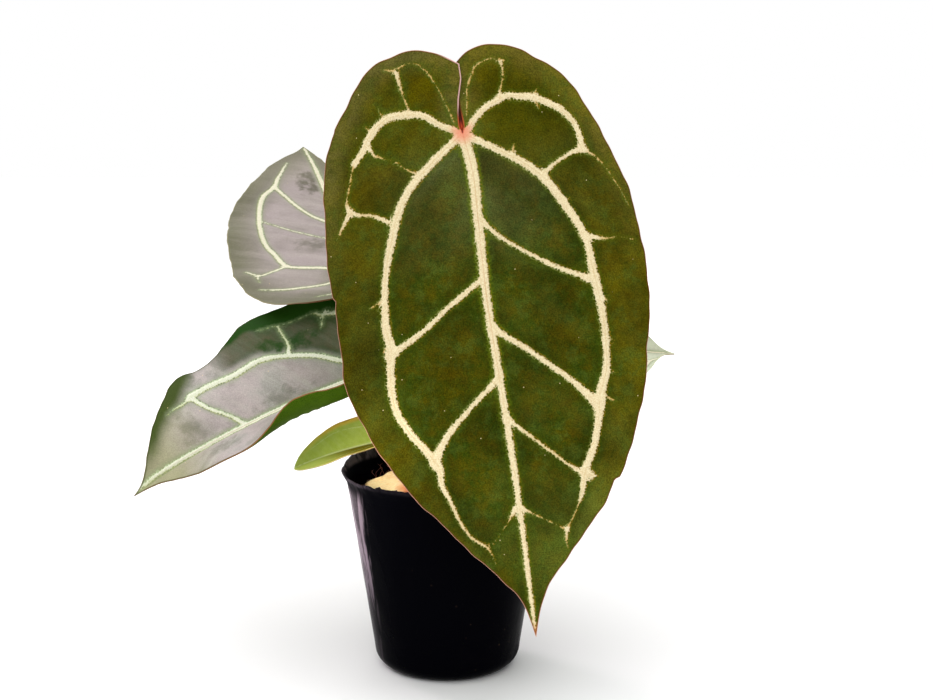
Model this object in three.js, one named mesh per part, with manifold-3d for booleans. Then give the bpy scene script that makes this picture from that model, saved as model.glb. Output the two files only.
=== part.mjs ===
// Potted anthurium hybrid: five heart-shaped leaves on long stalks in a soft black nursery pot.
// Millimetres, +Z up, the pot's base centre at the origin, the large front leaf towards -Y.
import * as THREE from "three";
import { mergeVertices } from "three/addons/utils/BufferGeometryUtils.js";
import Module from "manifold-3d";

const wasm = await Module();
wasm.setup();

// Driving dimensions of the pot and of what fills it.
const POT_HEIGHT = 100;
const POT_RIM_RADIUS = 52.5;
const POT_WALL_TOP_RADIUS = 49.6;
const POT_CORNER_RADIUS = 9;
const POT_BASE_RADIUS = 36.9;
const POT_WALL = 1.2;
const POT_FLOOR = 1.4;
const LIP_HEIGHT = 6.5;
const DRAIN_HOLES = 8;
const DRAIN_RING_RADIUS = 22;
const DRAIN_HOLE_RADIUS = 2.6;
const SOIL_LEVEL = 87;
const GAP = 0.3;

// The short stem and its place in the mix.
const STEM_X = 1;
const STEM_Y = 4;
const STEM_RADIUS = 8.5;
const STEM_BOTTOM = 62;
const STALK_RING_RADIUS = 4.6;
const STALK_BASE_LEVEL = 88;

// The leaf pattern is drawn on a flat blade of this length from the stalk to the tip:
// u runs across to the right as the upper face is seen, v from the stalk towards the tip.
const PATTERN_LENGTH = 230;
const PATTERN_HALF_WIDTH = 70;
const BLADE_THICKNESS = 0.8;
const VEIN_RELIEF = 0.9;
const VEIN_STEP = 17;
const NOTCH_CLEARANCE = 0.55;
const NOTCH_SHUT = 0.35;
const FRONT_STALK_RADIUS = 1.9;

const MATURE_OUTLINE = {
  mouth: -31,
  right: [[8, -37], [19, -38.5], [35, -33], [51, -19], [64, 8], [72, 34], [75, 60], [73.5, 88],
    [68, 117], [58, 145], [48, 165], [30, 186], [12, 204], [5, 215], [0, 230]],
  left: [[-8, -38], [-21, -41], [-37, -36], [-51, -21], [-63, -3], [-67, 18], [-70, 42],
    [-70, 66], [-70, 88], [-69, 108], [-60, 135], [-47, 157], [-30, 180], [-13, 200], [-4, 213], [0, 230]],
};

const YOUNG_OUTLINE = {
  mouth: -16,
  right: [[16, -24], [34, -22], [52, -6], [64, 25], [68, 60], [67, 100], [60, 140], [47, 175],
    [27, 207], [10, 224], [0, 230]],
  left: [[-16, -24], [-34, -22], [-52, -6], [-64, 25], [-68, 60], [-67, 100], [-60, 140],
    [-47, 175], [-27, 207], [-10, 224], [0, 230]],
};

// Each vein follows points of the pattern; start and end are half widths.
const VEINS = {
  midrib: { start: 2.7, end: 1.1, points: [[0, 1], [2, 20], [1, 45], [0, 80], [1, 130], [1, 180], [0, 222]] },
  spine: { start: 2.7, end: 1.1, points: [[0, 1], [0, 75], [0, 150], [0, 222]] },
  leftLoop: { start: 2.5, end: 0.9, points: [[-2, 2], [-18, 14], [-31, 27], [-41, 46], [-48, 70], [-47, 95],
    [-46, 124], [-35, 145], [-31, 163], [-22, 181], [-14, 191]] },
  rightLoop: { start: 2.3, end: 1, points: [[2, 2], [18, 12], [34, 27], [44, 48], [48, 70], [51, 98],
    [50, 114], [42, 131], [38, 150], [29, 172], [21, 183]] },
  leftLobe: { start: 1.8, end: 0.8, points: [[-5, 0], [-14, -8], [-25, -11], [-37, -7], [-46, 5], [-54, 17],
    [-56, 29], [-62, 38]] },
  rightLobe: { start: 1.8, end: 0.6, points: [[5, 0], [13, -9], [24, -12], [38, -7], [48, 1], [52, 14],
    [60, 22], [66, 35]] },
  leftEar: { start: 0.9, end: 0.5, points: [[-6, -4], [-8, -19], [-13, -31], [-21, -34], [-29, -32]] },
  rightEar: { start: 0.9, end: 0.5, points: [[6, -4], [7, -15], [10, -28], [16, -31], [24, -29]] },
  leftRung1: { start: 1.3, end: 1, points: [[-1, 67], [-17, 77], [-30, 86], [-47, 95]] },
  leftRung2: { start: 1.5, end: 1.2, points: [[0, 112], [-16, 125], [-26, 134], [-34, 146]] },
  rightRung1: { start: 1.2, end: 1, points: [[2, 40], [13, 52], [30, 64], [47, 73]] },
  rightRung2: { start: 1.5, end: 1.2, points: [[1, 89], [16, 102], [32, 117], [43, 130]] },
  rightRung3: { start: 1.1, end: 0.8, points: [[1, 129], [12, 141], [25, 154], [35, 161]] },
  leftBranch: { start: 0.9, end: 0.6, points: [[-55, 29], [-46, 32], [-38, 35]] },
  rightBranch: { start: 0.9, end: 0.6, points: [[52, 14], [43, 19], [34, 24]] },
};
const MAIN_VEINS = ["spine", "leftLoop", "rightLoop", "leftLobe", "rightLobe"];

// A leaf's midrib is a Bezier curve. Three numbers in a list are values at the stalk, halfway
// and at the tip: width across, fold of each half at the midrib in degrees, and further curl.
const LEAVES = {
  front: {
    midrib: [[8, -60, 270], [19, -78, 197], [31, -93, 113], [41, -98, 47]], facing: [0, -1, 0.17],
    outline: MATURE_OUTLINE, rows: 20, columns: 5, veins: Object.keys(VEINS).filter((name) => name !== "spine"),
    left: { width: [1, 1, 1], fold: [-4, -3, -2], curl: [-10, -8, -6], bend: 1 },
    right: { width: [1, 1, 1], fold: [-4, -3, -2], curl: [-10, -8, -6], bend: 1 },
    waveHeight: 1.2, waves: 7, stalkRadius: FRONT_STALK_RADIUS, stalkBearing: -62,
    stalkPath: [[3.5, -4, 105], [4, -14, 150], [4, -27, 205], [4.5, -40, 255]],
  },
  back_left: {
    midrib: [[-49, 38, 194], [-59, 86, 209], [-69, 135, 231], [-87, 170, 254]], facing: [-0.1, -0.35, 1],
    outline: MATURE_OUTLINE, rows: 14, columns: 4, veins: [...MAIN_VEINS, "leftRung1", "rightRung2"],
    left: { width: [1.22, 1.22, 1.22], fold: [10, 14, 12], curl: [-14, -8, -5], bend: 1 },
    right: { width: [1.22, 1.25, 1.5], fold: [2, 8, 8], curl: [-5, -5, -5], bend: 1 },
    waveHeight: 1.5, waves: 6, stalkRadius: 1.6, stalkBearing: 92,
    stalkPath: [[0, 13, 105], [-5, 24, 136], [-15, 33, 160], [-29, 37, 175], [-41, 35, 183]],
  },
  left: {
    midrib: [[-26, 5, 152], [-68, 0, 139], [-112, -8, 121], [-154, -20, 91]], facing: [0, -0.2, 1],
    outline: MATURE_OUTLINE, rows: 15, columns: 5, veins: [...MAIN_VEINS, "leftRung1"],
    left: { width: [1.05, 1.05, 1.7], fold: [50, 52, 62], curl: [-5, -15, -40], bend: 1 },
    right: { width: [1.1, 1.1, 1.2], fold: [8, 6, -14], curl: [70, 48, 10], bend: 4 },
    waveHeight: 2, waves: 6, stalkRadius: 1.6, stalkBearing: 160,
    stalkPath: [[-5, 6.5, 105], [-9, 8, 128], [-12.5, 8.3, 142]],
  },
  right: {
    midrib: [[39, 15, 161], [70, 35, 158], [98, 62, 148], [125, 85, 144]], facing: [0.1, -0.8, 0.6],
    outline: MATURE_OUTLINE, rows: 13, columns: 4, veins: [...MAIN_VEINS, "rightRung2"],
    left: { width: [1, 0.85, 0.45], fold: [10, 25, 48], curl: [-5, -5, -5], bend: 1 },
    right: { width: [1, 1, 1], fold: [10, 8, 5], curl: [-5, -5, -5], bend: 1 },
    waveHeight: 1, waves: 5, stalkRadius: 1.4, stalkBearing: 15,
    stalkPath: [[8, 7, 105], [15, 10.5, 130], [23, 12.8, 148]],
  },
  small: {
    midrib: [[-26, 0, 115], [-44, 0, 112], [-62, 0, 107], [-77, 0, 100]], facing: [0, -0.3, 1],
    outline: YOUNG_OUTLINE, rows: 10, columns: 3, veins: ["spine"],
    left: { width: [1.15, 1.15, 1.15], fold: [40, 30, 25], curl: [-5, -5, -5], bend: 1 },
    right: { width: [1.15, 1.15, 1.15], fold: [30, 20, 8], curl: [0, 0, 0], bend: 1 },
    waveHeight: 0.3, waves: 5, stalkRadius: 1.1, stalkBearing: 228,
    stalkPath: [[-4.2, 0.6, 99], [-9, 1, 107]],
  },
};

// Bark and husk lying on the mix: centre, size, tilt and turn in degrees.
const CHIPS = [
  { name: "pale_husk_chip", at: [-27, 5, 93], size: [27, 19, 2.4], tilt: [24, 8, -14], cup: 2.2 },
  { name: "bark_chip_1", at: [-8, -26, 88.4], size: [19, 11, 4], tilt: [6, -5, 35], cup: 0.8 },
  { name: "bark_chip_2", at: [17, -29, 88.2], size: [15, 12, 4.5], tilt: [-8, 6, 80], cup: 0.6 },
  { name: "bark_chip_3", at: [30, -4, 88.2], size: [20, 10, 4], tilt: [5, 9, 110], cup: 0.8 },
  { name: "bark_chip_4", at: [22, 26, 88.2], size: [17, 13, 4.5], tilt: [9, -6, 20], cup: 0.6 },
  { name: "bark_chip_5", at: [-3, 34, 88.2], size: [19, 10, 3.6], tilt: [-7, 5, 160], cup: 0.8 },
  { name: "bark_chip_6", at: [-33, -17, 88.6], size: [14, 9, 4], tilt: [8, 7, 60], cup: 0.5 },
];

const SHEATHS = [
  { bearing: 126, height: 21, width: 9, lean: 0.18 },
  { bearing: 178, height: 13, width: 8, lean: 0.25 },
  { bearing: 250, height: 24, width: 9, lean: 0.12 },
  { bearing: -25, height: 19, width: 8, lean: 0.22 },
];

const ROOTS = [
  { bearing: 55, level: 95, reach: 15, radius: 1.6 },
  { bearing: -95, level: 94, reach: 13, radius: 1.4 },
  { bearing: 142, level: 93.5, reach: 14, radius: 1.3 },
];

const COLOURS = {
  pot: { color: 0x0b0b0d, roughness: 0.28, metalness: 0 },
  mix: { color: 0x2c1d13, roughness: 0.95, metalness: 0 },
  husk: { color: 0xd9b67c, roughness: 0.7, metalness: 0 },
  bark: { color: 0x5a3420, roughness: 0.85, metalness: 0 },
  stem: { color: 0x6d5637, roughness: 0.8, metalness: 0 },
  stalk: { color: 0x6d6b35, roughness: 0.5, metalness: 0 },
  blade: { color: 0x3a4019, roughness: 0.55, metalness: 0 },
  youngBlade: { color: 0x8aa34a, roughness: 0.5, metalness: 0 },
};

const radians = THREE.MathUtils.degToRad;

function material(name) {
  return new THREE.MeshStandardMaterial(COLOURS[name]);
}

// Closed geometry to a solid: shared vertices are merged, and flat leftovers are dropped.
function toSolid(geometry) {
  const source = geometry.clone();
  source.deleteAttribute("normal");
  source.deleteAttribute("uv");
  const merged = mergeVertices(source, 1e-4);
  const corners = merged.index.array;
  const kept = [];
  for (let i = 0; i < corners.length; i += 3) {
    const [a, b, c] = [corners[i], corners[i + 1], corners[i + 2]];
    if (a !== b && b !== c && a !== c) kept.push(a, b, c);
  }
  const solidOf = (triangles) => new wasm.Manifold(new wasm.Mesh({
    numProp: 3,
    vertProperties: new Float32Array(merged.attributes.position.array),
    triVerts: new Uint32Array(triangles),
  }));
  const solid = solidOf(kept);
  if (solid.volume() > 0) return solid;
  for (let i = 0; i < kept.length; i += 3) [kept[i + 1], kept[i + 2]] = [kept[i + 2], kept[i + 1]];
  return solidOf(kept);
}

function toMesh(name, solid, colour) {
  const { vertProperties, triVerts } = solid.getMesh();
  const geometry = new THREE.BufferGeometry();
  geometry.setAttribute("position", new THREE.BufferAttribute(new Float32Array(vertProperties), 3));
  geometry.setIndex(new THREE.BufferAttribute(new Uint32Array(triVerts), 1));
  geometry.computeVertexNormals();
  const mesh = new THREE.Mesh(geometry, material(colour));
  mesh.name = name;
  return mesh;
}

function unite(solids) {
  return solids.reduce((whole, solid) => whole.add(solid));
}

function moveVertices(geometry, move) {
  const positions = geometry.attributes.position;
  const point = new THREE.Vector3();
  for (let i = 0; i < positions.count; i += 1) {
    point.fromBufferAttribute(positions, i);
    move(point);
    positions.setXYZ(i, point.x, point.y, point.z);
  }
  return geometry;
}

// Value at s of a quadratic through three stations at 0, 0.5 and 1.
function stations([first, middle, last], s) {
  const t = THREE.MathUtils.clamp(s, 0, 1);
  return first * (1 - t) * (1 - 2 * t) + 4 * middle * t * (1 - t) + last * t * (2 * t - 1);
}


function lathe(profile, segments) {
  const points = profile.map(([radius, height]) => new THREE.Vector2(radius, height));
  return new THREE.LatheGeometry(points, segments).rotateX(Math.PI / 2);
}

function arc(centreRadius, centreHeight, radius, from, to, steps) {
  return Array.from({ length: steps + 1 }, (_, i) => {
    const angle = radians(from + ((to - from) * i) / steps);
    return [centreRadius + radius * Math.cos(angle), centreHeight + radius * Math.sin(angle)];
  });
}

// A round rod along a curve: radiusAt(distance from the start, distance from the end).
function rod(points, radiusAt, sides, steps, extra = 0) {
  const curve = new THREE.CatmullRomCurve3(points.map((p) => new THREE.Vector3(...p)), false, "centripetal");
  const length = curve.getLength();
  const { tangents, normals, binormals } = curve.computeFrenetFrames(steps);
  const centres = tangents.map((_, i) => curve.getPointAt(i / steps));
  centres[0].addScaledVector(tangents[0], -extra);
  centres[steps].addScaledVector(tangents[steps], extra);
  return moveVertices(new THREE.CylinderGeometry(1, 1, 1, sides, steps), (point) => {
    const i = Math.round((point.y + 0.5) * steps);
    const reach = radiusAt((length * i) / steps, length * (1 - i / steps)) + extra;
    const across = normals[i].clone().multiplyScalar(point.x * reach);
    const beside = binormals[i].clone().multiplyScalar(point.z * reach);
    point.copy(centres[i]).add(across).add(beside);
  });
}

// The soft wall is pressed a little out of round, more so towards the lip.
function press(point) {
  const angle = Math.atan2(point.y, point.x);
  const radius = Math.hypot(point.x, point.y);
  const share = (Math.max(point.z, 0) / POT_HEIGHT) ** 1.5 * (radius / POT_RIM_RADIUS);
  const push = 0.7 * Math.cos(2 * angle + 0.6) + 0.4 * Math.cos(3 * angle + 2.1) + 0.3 * Math.cos(7 * angle);
  const pushed = radius + share * push;
  point.x = pushed * Math.cos(angle);
  point.y = pushed * Math.sin(angle);
  const lipShare = THREE.MathUtils.smoothstep(point.z, POT_HEIGHT - LIP_HEIGHT * 1.6, POT_HEIGHT);
  const ripple = 0.6 * Math.cos(3 * angle + 1) + 0.5 * Math.cos(5 * angle + 2.2) + 0.4 * Math.cos(8 * angle);
  point.z += lipShare * ripple;
}

const POT_SEGMENTS = 36;
const WALL_LEAN = 8.5;
const WALL_STATIONS = [37, 66];
const CORNER_CENTRE = POT_BASE_RADIUS - POT_CORNER_RADIUS;

function wallRadius(height) {
  const share = (height - POT_CORNER_RADIUS) / (POT_HEIGHT - LIP_HEIGHT - POT_CORNER_RADIUS);
  return THREE.MathUtils.lerp(POT_BASE_RADIUS, POT_WALL_TOP_RADIUS, share);
}

function makePot() {
  const lipBottom = POT_HEIGHT - LIP_HEIGHT;
  const inner = (height) => [wallRadius(height) - POT_WALL, height];
  const profile = [
    [0, 0],
    ...arc(CORNER_CENTRE, POT_CORNER_RADIUS, POT_CORNER_RADIUS, -90, -WALL_LEAN, 4),
    ...WALL_STATIONS.map((height) => [wallRadius(height), height]),
    [POT_WALL_TOP_RADIUS, lipBottom],
    [POT_RIM_RADIUS - 0.7, lipBottom + 0.5],
    [POT_RIM_RADIUS, lipBottom + 1.8],
    [POT_RIM_RADIUS, POT_HEIGHT - 1.4],
    [POT_RIM_RADIUS - 0.8, POT_HEIGHT],
    [POT_RIM_RADIUS - 2.2, POT_HEIGHT - 0.4],
    inner(POT_HEIGHT - 4.5),
    ...WALL_STATIONS.toReversed().map(inner),
    ...arc(CORNER_CENTRE, POT_CORNER_RADIUS, POT_CORNER_RADIUS - POT_FLOOR, -WALL_LEAN, -90, 3),
    [0, POT_FLOOR],
  ];
  const shell = toSolid(moveVertices(lathe(profile, POT_SEGMENTS), press));
  const drains = Array.from({ length: DRAIN_HOLES }, (_, i) => {
    const angle = (2 * Math.PI * i) / DRAIN_HOLES;
    const hole = new THREE.CylinderGeometry(DRAIN_HOLE_RADIUS, DRAIN_HOLE_RADIUS, POT_FLOOR * 3, 8);
    hole.rotateX(Math.PI / 2);
    hole.translate(DRAIN_RING_RADIUS * Math.cos(angle), DRAIN_RING_RADIUS * Math.sin(angle), POT_FLOOR / 2);
    return toSolid(hole);
  });
  return toMesh("pot", shell.subtract(unite(drains)), "pot");
}

// Height of the mix: small bumps, and a mound that the husk chip leans on.
function mixHeight(x, y) {
  const bumps = 0.9 * Math.sin(0.31 * x + 1) * Math.cos(0.27 * y) + 0.5 * Math.sin(0.73 * x + 0.55 * y);
  const mound = 4.5 * Math.exp(-((x + 27) ** 2 + (y - 9) ** 2) / 240);
  return SOIL_LEVEL + bumps + mound;
}

function makeMix(cutters) {
  const edge = (height) => wallRadius(height) - POT_WALL - GAP - 0.1;
  const profile = [
    [0, POT_FLOOR + GAP],
    ...arc(CORNER_CENTRE, POT_CORNER_RADIUS, POT_CORNER_RADIUS - POT_FLOOR - GAP, -90, -WALL_LEAN, 3),
    ...WALL_STATIONS.map((height) => [edge(height), height]),
    [edge(SOIL_LEVEL), SOIL_LEVEL],
    ...[39, 31, 23, 14].map((radius) => [radius, SOIL_LEVEL]),
    [0, SOIL_LEVEL],
  ];
  const geometry = moveVertices(lathe(profile, POT_SEGMENTS), (point) => {
    const radius = Math.hypot(point.x, point.y);
    if (point.z > SOIL_LEVEL - GAP) {
      point.z = mixHeight(point.x, point.y);
      const atWall = radius > edge(SOIL_LEVEL) - GAP;
      if (atWall) point.multiply(new THREE.Vector3(edge(point.z) / radius, edge(point.z) / radius, 1));
    }
    press(point);
  });
  const hole = new THREE.CylinderGeometry(STEM_RADIUS + GAP, STEM_RADIUS + GAP, POT_HEIGHT, 16);
  hole.rotateX(Math.PI / 2);
  hole.translate(STEM_X, STEM_Y, STEM_BOTTOM - GAP + POT_HEIGHT / 2);
  return toMesh("potting_mix", toSolid(geometry).subtract(unite([toSolid(hole), ...cutters])), "mix");
}

// A flake of bark: rounded corners, uneven sides, cupped, and thinner towards its edges.
function chipSolid({ at, size, tilt, cup }, extra = 0) {
  const [width, depth, thickness] = size.map((side) => side + 2 * extra);
  const turn = new THREE.Euler(...tilt.map(radians));
  const centre = new THREE.Vector3(...at);
  return toSolid(moveVertices(new THREE.BoxGeometry(width, depth, thickness, 4, 3, 1), (point) => {
    const across = (2 * point.x) / width;
    const beside = (2 * point.y) / depth;
    const corner = 1 - 0.24 * across ** 2 * beside ** 2;
    const uneven = 1 + 0.07 * Math.sin(5 * across + size[0]) + 0.06 * Math.cos(4 * beside + size[1]);
    const thin = 1 - 0.45 * Math.max(Math.abs(across), Math.abs(beside)) ** 3;
    const lift = cup * (0.7 * across ** 2 + 0.3 * beside ** 2) + 0.12 * cup * Math.sin(6 * across + 2 * beside);
    point.set(point.x * corner * uneven, point.y * corner * uneven, point.z * thin + lift);
    point.applyEuler(turn).add(centre);
  }));
}

function rootPoints({ bearing, level, reach }) {
  const angle = radians(bearing);
  const at = (radius, height) => [STEM_X + radius * Math.cos(angle), STEM_Y + radius * Math.sin(angle), height];
  const ground = mixHeight(...at(reach, 0).slice(0, 2));
  return [at(5, level - 1), at(9, level + 0.5), at(reach - 2, level - 2), at(reach, ground), at(reach, ground - 5)];
}

function rootSolid(root, extra = 0) {
  return toSolid(rod(rootPoints(root), (_, toEnd) => root.radius * (0.6 + 0.4 * Math.min(toEnd / 8, 1)), 6, 7, extra));
}

// A dry pointed sheath that grows from the stem and leans out.
function sheathSolid({ bearing, height, width, lean }) {
  const base = STEM_RADIUS - 1.5;
  return toSolid(moveVertices(new THREE.BoxGeometry(width, 0.9, height, 2, 1, 4), (point) => {
    const rise = point.z / height + 0.5;
    const taper = Math.max(Math.sqrt(1 - rise), 0.15);
    const angle = radians(bearing) + (point.x * taper) / base;
    const radius = base + point.y + lean * rise * height;
    point.x = STEM_X + radius * Math.cos(angle);
    point.y = STEM_Y + radius * Math.sin(angle);
    point.z = STALK_BASE_LEVEL + 2 + rise * height;
  }));
}

function makeStem(stalkCutters) {
  const r = STEM_RADIUS;
  const profile = [[0, 62], [5, 62], [r - 0.6, 66], [r, 72], [r - 0.9, 74.5], [r, 81], [r - 0.9, 83], [r, 88],
    [r - 0.9, 90.5], [r - 0.3, 95], [r - 1.2, 98.5], [4.5, 100.6], [0, 101]];
  const body = toSolid(lathe(profile, 14).translate(STEM_X, STEM_Y, 0));
  const grown = unite([body, ...SHEATHS.map(sheathSolid), ...ROOTS.map((root) => rootSolid(root))]);
  return toMesh("stem", grown.subtract(unite(stalkCutters)).simplify(0.05), "stem");
}

// One leaf's surface: pattern coordinates to points and normals in space.
class LeafSurface {
  constructor(spec) {
    this.spec = spec;
    this.curve = new THREE.CubicBezierCurve3(...spec.midrib.map((p) => new THREE.Vector3(...p)));
    this.length = this.curve.getLength();
    this.scale = this.length / PATTERN_LENGTH;
    this.facing = new THREE.Vector3(...spec.facing);
  }

  frame(v) {
    const s = THREE.MathUtils.clamp(v / PATTERN_LENGTH, 0, 1);
    const along = this.curve.getTangentAt(s);
    const across = this.facing.clone().cross(along).normalize();
    const up = along.clone().cross(across);
    const origin = this.curve.getPointAt(s).addScaledVector(along, Math.min(v, 0) * this.scale);
    return { origin, along, across, up };
  }

  // The half's cross-section bends steadily from its fold at the midrib to its margin.
  point(u, v, side) {
    const { origin, across, up } = this.frame(v);
    const half = side < 0 ? this.spec.left : this.spec.right;
    const s = v / PATTERN_LENGTH;
    const stretch = this.scale * stations(half.width, s);
    const reach = Math.abs(u) * stretch;
    const fold = radians(stations(half.fold, s));
    const curl = radians(stations(half.curl, s));
    const steps = 8;
    let out = 0;
    let rise = 0;
    for (let i = 0; i < steps; i += 1) {
      const share = (((i + 0.5) / steps) * Math.abs(u)) / PATTERN_HALF_WIDTH;
      const angle = fold + curl * share ** half.bend;
      out += (Math.cos(angle) * reach) / steps;
      rise += (Math.sin(angle) * reach) / steps;
    }
    const { waveHeight, waves } = this.spec;
    const ripple = waveHeight * (u / PATTERN_HALF_WIDTH) ** 2 * Math.sin(waves * Math.PI * s + side * 0.7);
    return origin.addScaledVector(across, side * out).addScaledVector(up, rise + ripple);
  }

  sideNormal(u, v, side) {
    const outward = this.point(u + side, v, side).sub(this.point(u, v, side));
    const onward = this.point(u, v + 1, side).sub(this.point(u, v - 1, side));
    return outward.cross(onward).multiplyScalar(-side).normalize();
  }

  // On the midrib the two halves share one normal, long enough to keep the blade's thickness.
  normal(u, v, side) {
    if (Math.abs(u) > 1e-6) return this.sideNormal(u, v, side);
    const right = this.sideNormal(0, v, 1);
    const shared = right.clone().add(this.sideNormal(0, v, -1)).normalize();
    return shared.divideScalar(Math.max(shared.dot(right), 0.6));
  }
}

// Half width of the notch between the lobes where the stalk's top lies, in pattern units.
function notchRows(surface, side) {
  const { outline, stalkRadius } = surface.spec;
  const stretch = surface.scale * stations((side < 0 ? surface.spec.left : surface.spec.right).width, 0);
  const wide = (stalkRadius + NOTCH_CLEARANCE) / stretch;
  const size = stalkRadius / FRONT_STALK_RADIUS / surface.scale;
  const shut = NOTCH_SHUT / stretch;
  const edge = -0.8 / surface.scale;
  if (outline === YOUNG_OUTLINE) {
    return [0, 0.5, 1].map((share) => [side * wide, THREE.MathUtils.lerp(outline.mouth, edge, share)]).concat([[0, 0]]);
  }
  const narrow = (wide + shut) / 2;
  return [[shut, outline.mouth], [shut, (outline.mouth - 15 * size) / 2], [narrow, -13 * size], [wide, -9 * size],
    [wide, -4.5 * size], [wide, edge], [0, 0]].map(([u, v]) => [side * u, v]);
}

function evenly(points, from, to, steps) {
  const curve = new THREE.SplineCurve(points.map(([u, v]) => new THREE.Vector2(u, v)));
  return Array.from({ length: steps + 1 }, (_, i) => curve.getPointAt(from + ((to - from) * i) / steps).toArray());
}

// Rows of the grid: from the notch or the midrib out to the margin.
function gridRows(surface, side) {
  const inner = notchRows(surface, side);
  const outline = side < 0 ? surface.spec.outline.left : surface.spec.outline.right;
  const margin = [inner[0], ...outline];
  const curve = new THREE.SplineCurve(margin.map(([u, v]) => new THREE.Vector2(u, v)));
  const samples = curve.getSpacedPoints(400);
  const shoulder = samples.findIndex((p) => Math.abs(p.x) > 30 && p.y > -6) / 400;
  const lobeSteps = inner.length - 1;
  const lobeMargin = evenly(margin, 0, shoulder, lobeSteps);
  const bodyMargin = evenly(margin, shoulder, 1, surface.spec.rows);
  const rows = inner.map((point, i) => [point, lobeMargin[i]]);
  for (let i = 1; i <= surface.spec.rows; i += 1) {
    const share = i / surface.spec.rows;
    rows.push([[0, PATTERN_LENGTH * share], bodyMargin[i]]);
  }
  rows[rows.length - 1] = [[0, PATTERN_LENGTH], [0, PATTERN_LENGTH]];
  return { rows, lobeSteps };
}

function bladeSlab(surface) {
  const positions = [];
  const triangles = [];
  const { columns } = surface.spec;
  for (const side of [1, -1]) {
    const { rows, lobeSteps } = gridRows(surface, side);
    const first = positions.length / 3;
    for (const [inner, outer] of rows) {
      for (let c = 0; c <= columns; c += 1) {
        const u = THREE.MathUtils.lerp(inner[0], outer[0], c / columns);
        const v = THREE.MathUtils.lerp(inner[1], outer[1], c / columns);
        const normal = surface.normal(u, v, side).multiplyScalar(BLADE_THICKNESS / 2);
        const middle = surface.point(u, v, side);
        positions.push(...middle.clone().add(normal).toArray(), ...middle.clone().sub(normal).toArray());
      }
    }
    const at = (r, c, face) => first + (r * (columns + 1) + c) * 2 + face;
    const quad = (a, b, c, d, turned) => {
      triangles.push(...(turned ? [c, b, a, d, c, a] : [a, b, c, a, c, d]));
    };
    const cell = (r, c, face) => [at(r, c, face), at(r + 1, c, face), at(r + 1, c + 1, face), at(r, c + 1, face)];
    for (let r = 0; r < rows.length - 1; r += 1) {
      for (let c = 0; c < columns; c += 1) {
        quad(...cell(r, c, 0), side < 0);
        quad(...cell(r, c, 1), side > 0);
      }
      quad(at(r, columns, 0), at(r + 1, columns, 0), at(r + 1, columns, 1), at(r, columns, 1), side < 0);
      if (r < lobeSteps) quad(at(r, 0, 1), at(r + 1, 0, 1), at(r + 1, 0, 0), at(r, 0, 0), side < 0);
    }
  }
  const geometry = new THREE.BufferGeometry();
  geometry.setAttribute("position", new THREE.BufferAttribute(new Float32Array(positions), 3));
  geometry.setIndex(triangles);
  return toSolid(geometry);
}

// A vein is a three-sided ridge on the upper face, rooted in the blade and fading at its end.
function veinSolid(surface, { start, end, points }) {
  const curve = new THREE.SplineCurve(points.map(([u, v]) => new THREE.Vector2(u, v)));
  const steps = Math.max(3, Math.round((curve.getLength() * Math.sqrt(surface.scale)) / VEIN_STEP));
  const side = points.at(-1)[0] < 0 ? -1 : 1;
  const places = curve.getSpacedPoints(steps).map((p) => ({
    middle: surface.point(p.x, p.y, p.x === 0 ? side : Math.sign(p.x)),
    up: surface.normal(p.x, p.y, p.x === 0 ? side : Math.sign(p.x)).normalize(),
  }));
  const crest = BLADE_THICKNESS / 2 + VEIN_RELIEF;
  return toSolid(moveVertices(new THREE.CylinderGeometry(1, 1, 1, 3, steps), (point) => {
    const i = Math.round((point.y + 0.5) * steps);
    const ahead = places[Math.min(i + 1, steps)].middle.clone().sub(places[Math.max(i - 1, 0)].middle).normalize();
    const { middle, up } = places[i];
    const beside = up.clone().cross(ahead).normalize();
    const fade = i === steps ? 0.5 : 1;
    const halfWidth = (THREE.MathUtils.lerp(start, end, i / steps) * surface.scale + 0.6) * fade;
    const ridge = point.z > 0 ? crest * Math.min(1, halfWidth / 1.6) : -0.1;
    const spread = point.x * halfWidth * 1.15;
    point.copy(middle).addScaledVector(up, ridge).addScaledVector(beside, spread);
  }));
}

function makeBlade(name, surface) {
  const veins = surface.spec.veins.map((vein) => veinSolid(surface, VEINS[vein]));
  const colour = name === "small" ? "youngBlade" : "blade";
  return toMesh(`blade_${name}`, unite([bladeSlab(surface), ...veins]).simplify(0.08), colour);
}

// The stalk leaves the stem, runs behind the blade and turns over into the notch.
function stalkSolid(surface, extra = 0) {
  const { stalkRadius, stalkBearing, stalkPath } = surface.spec;
  const { origin, along, up } = surface.frame(0);
  const size = stalkRadius / FRONT_STALK_RADIUS;
  const local = ([back, below]) => origin.clone().addScaledVector(along, back).addScaledVector(up, below).toArray();
  const top = [[-13 * size, -7 * size], [-10 * size, -2.8 * size], [-5 * size, -0.3 * size], [-1.8, 0]].map(local);
  const angle = radians(stalkBearing);
  const base = [STEM_X + STALK_RING_RADIUS * Math.cos(angle), STEM_Y + STALK_RING_RADIUS * Math.sin(angle),
    STALK_BASE_LEVEL];
  const radiusAt = (fromStem, toBlade) => stalkRadius
    * (1 + 0.2 * Math.exp(-((fromStem / 14) ** 2)) + 0.18 * Math.exp(-(((toBlade - 15 * size) / 6) ** 2)));
  const points = [base, ...stalkPath, ...top];
  return toSolid(rod(points, radiusAt, 8, Math.round(7 + surface.frame(0).origin.z / 20), extra));
}

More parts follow.
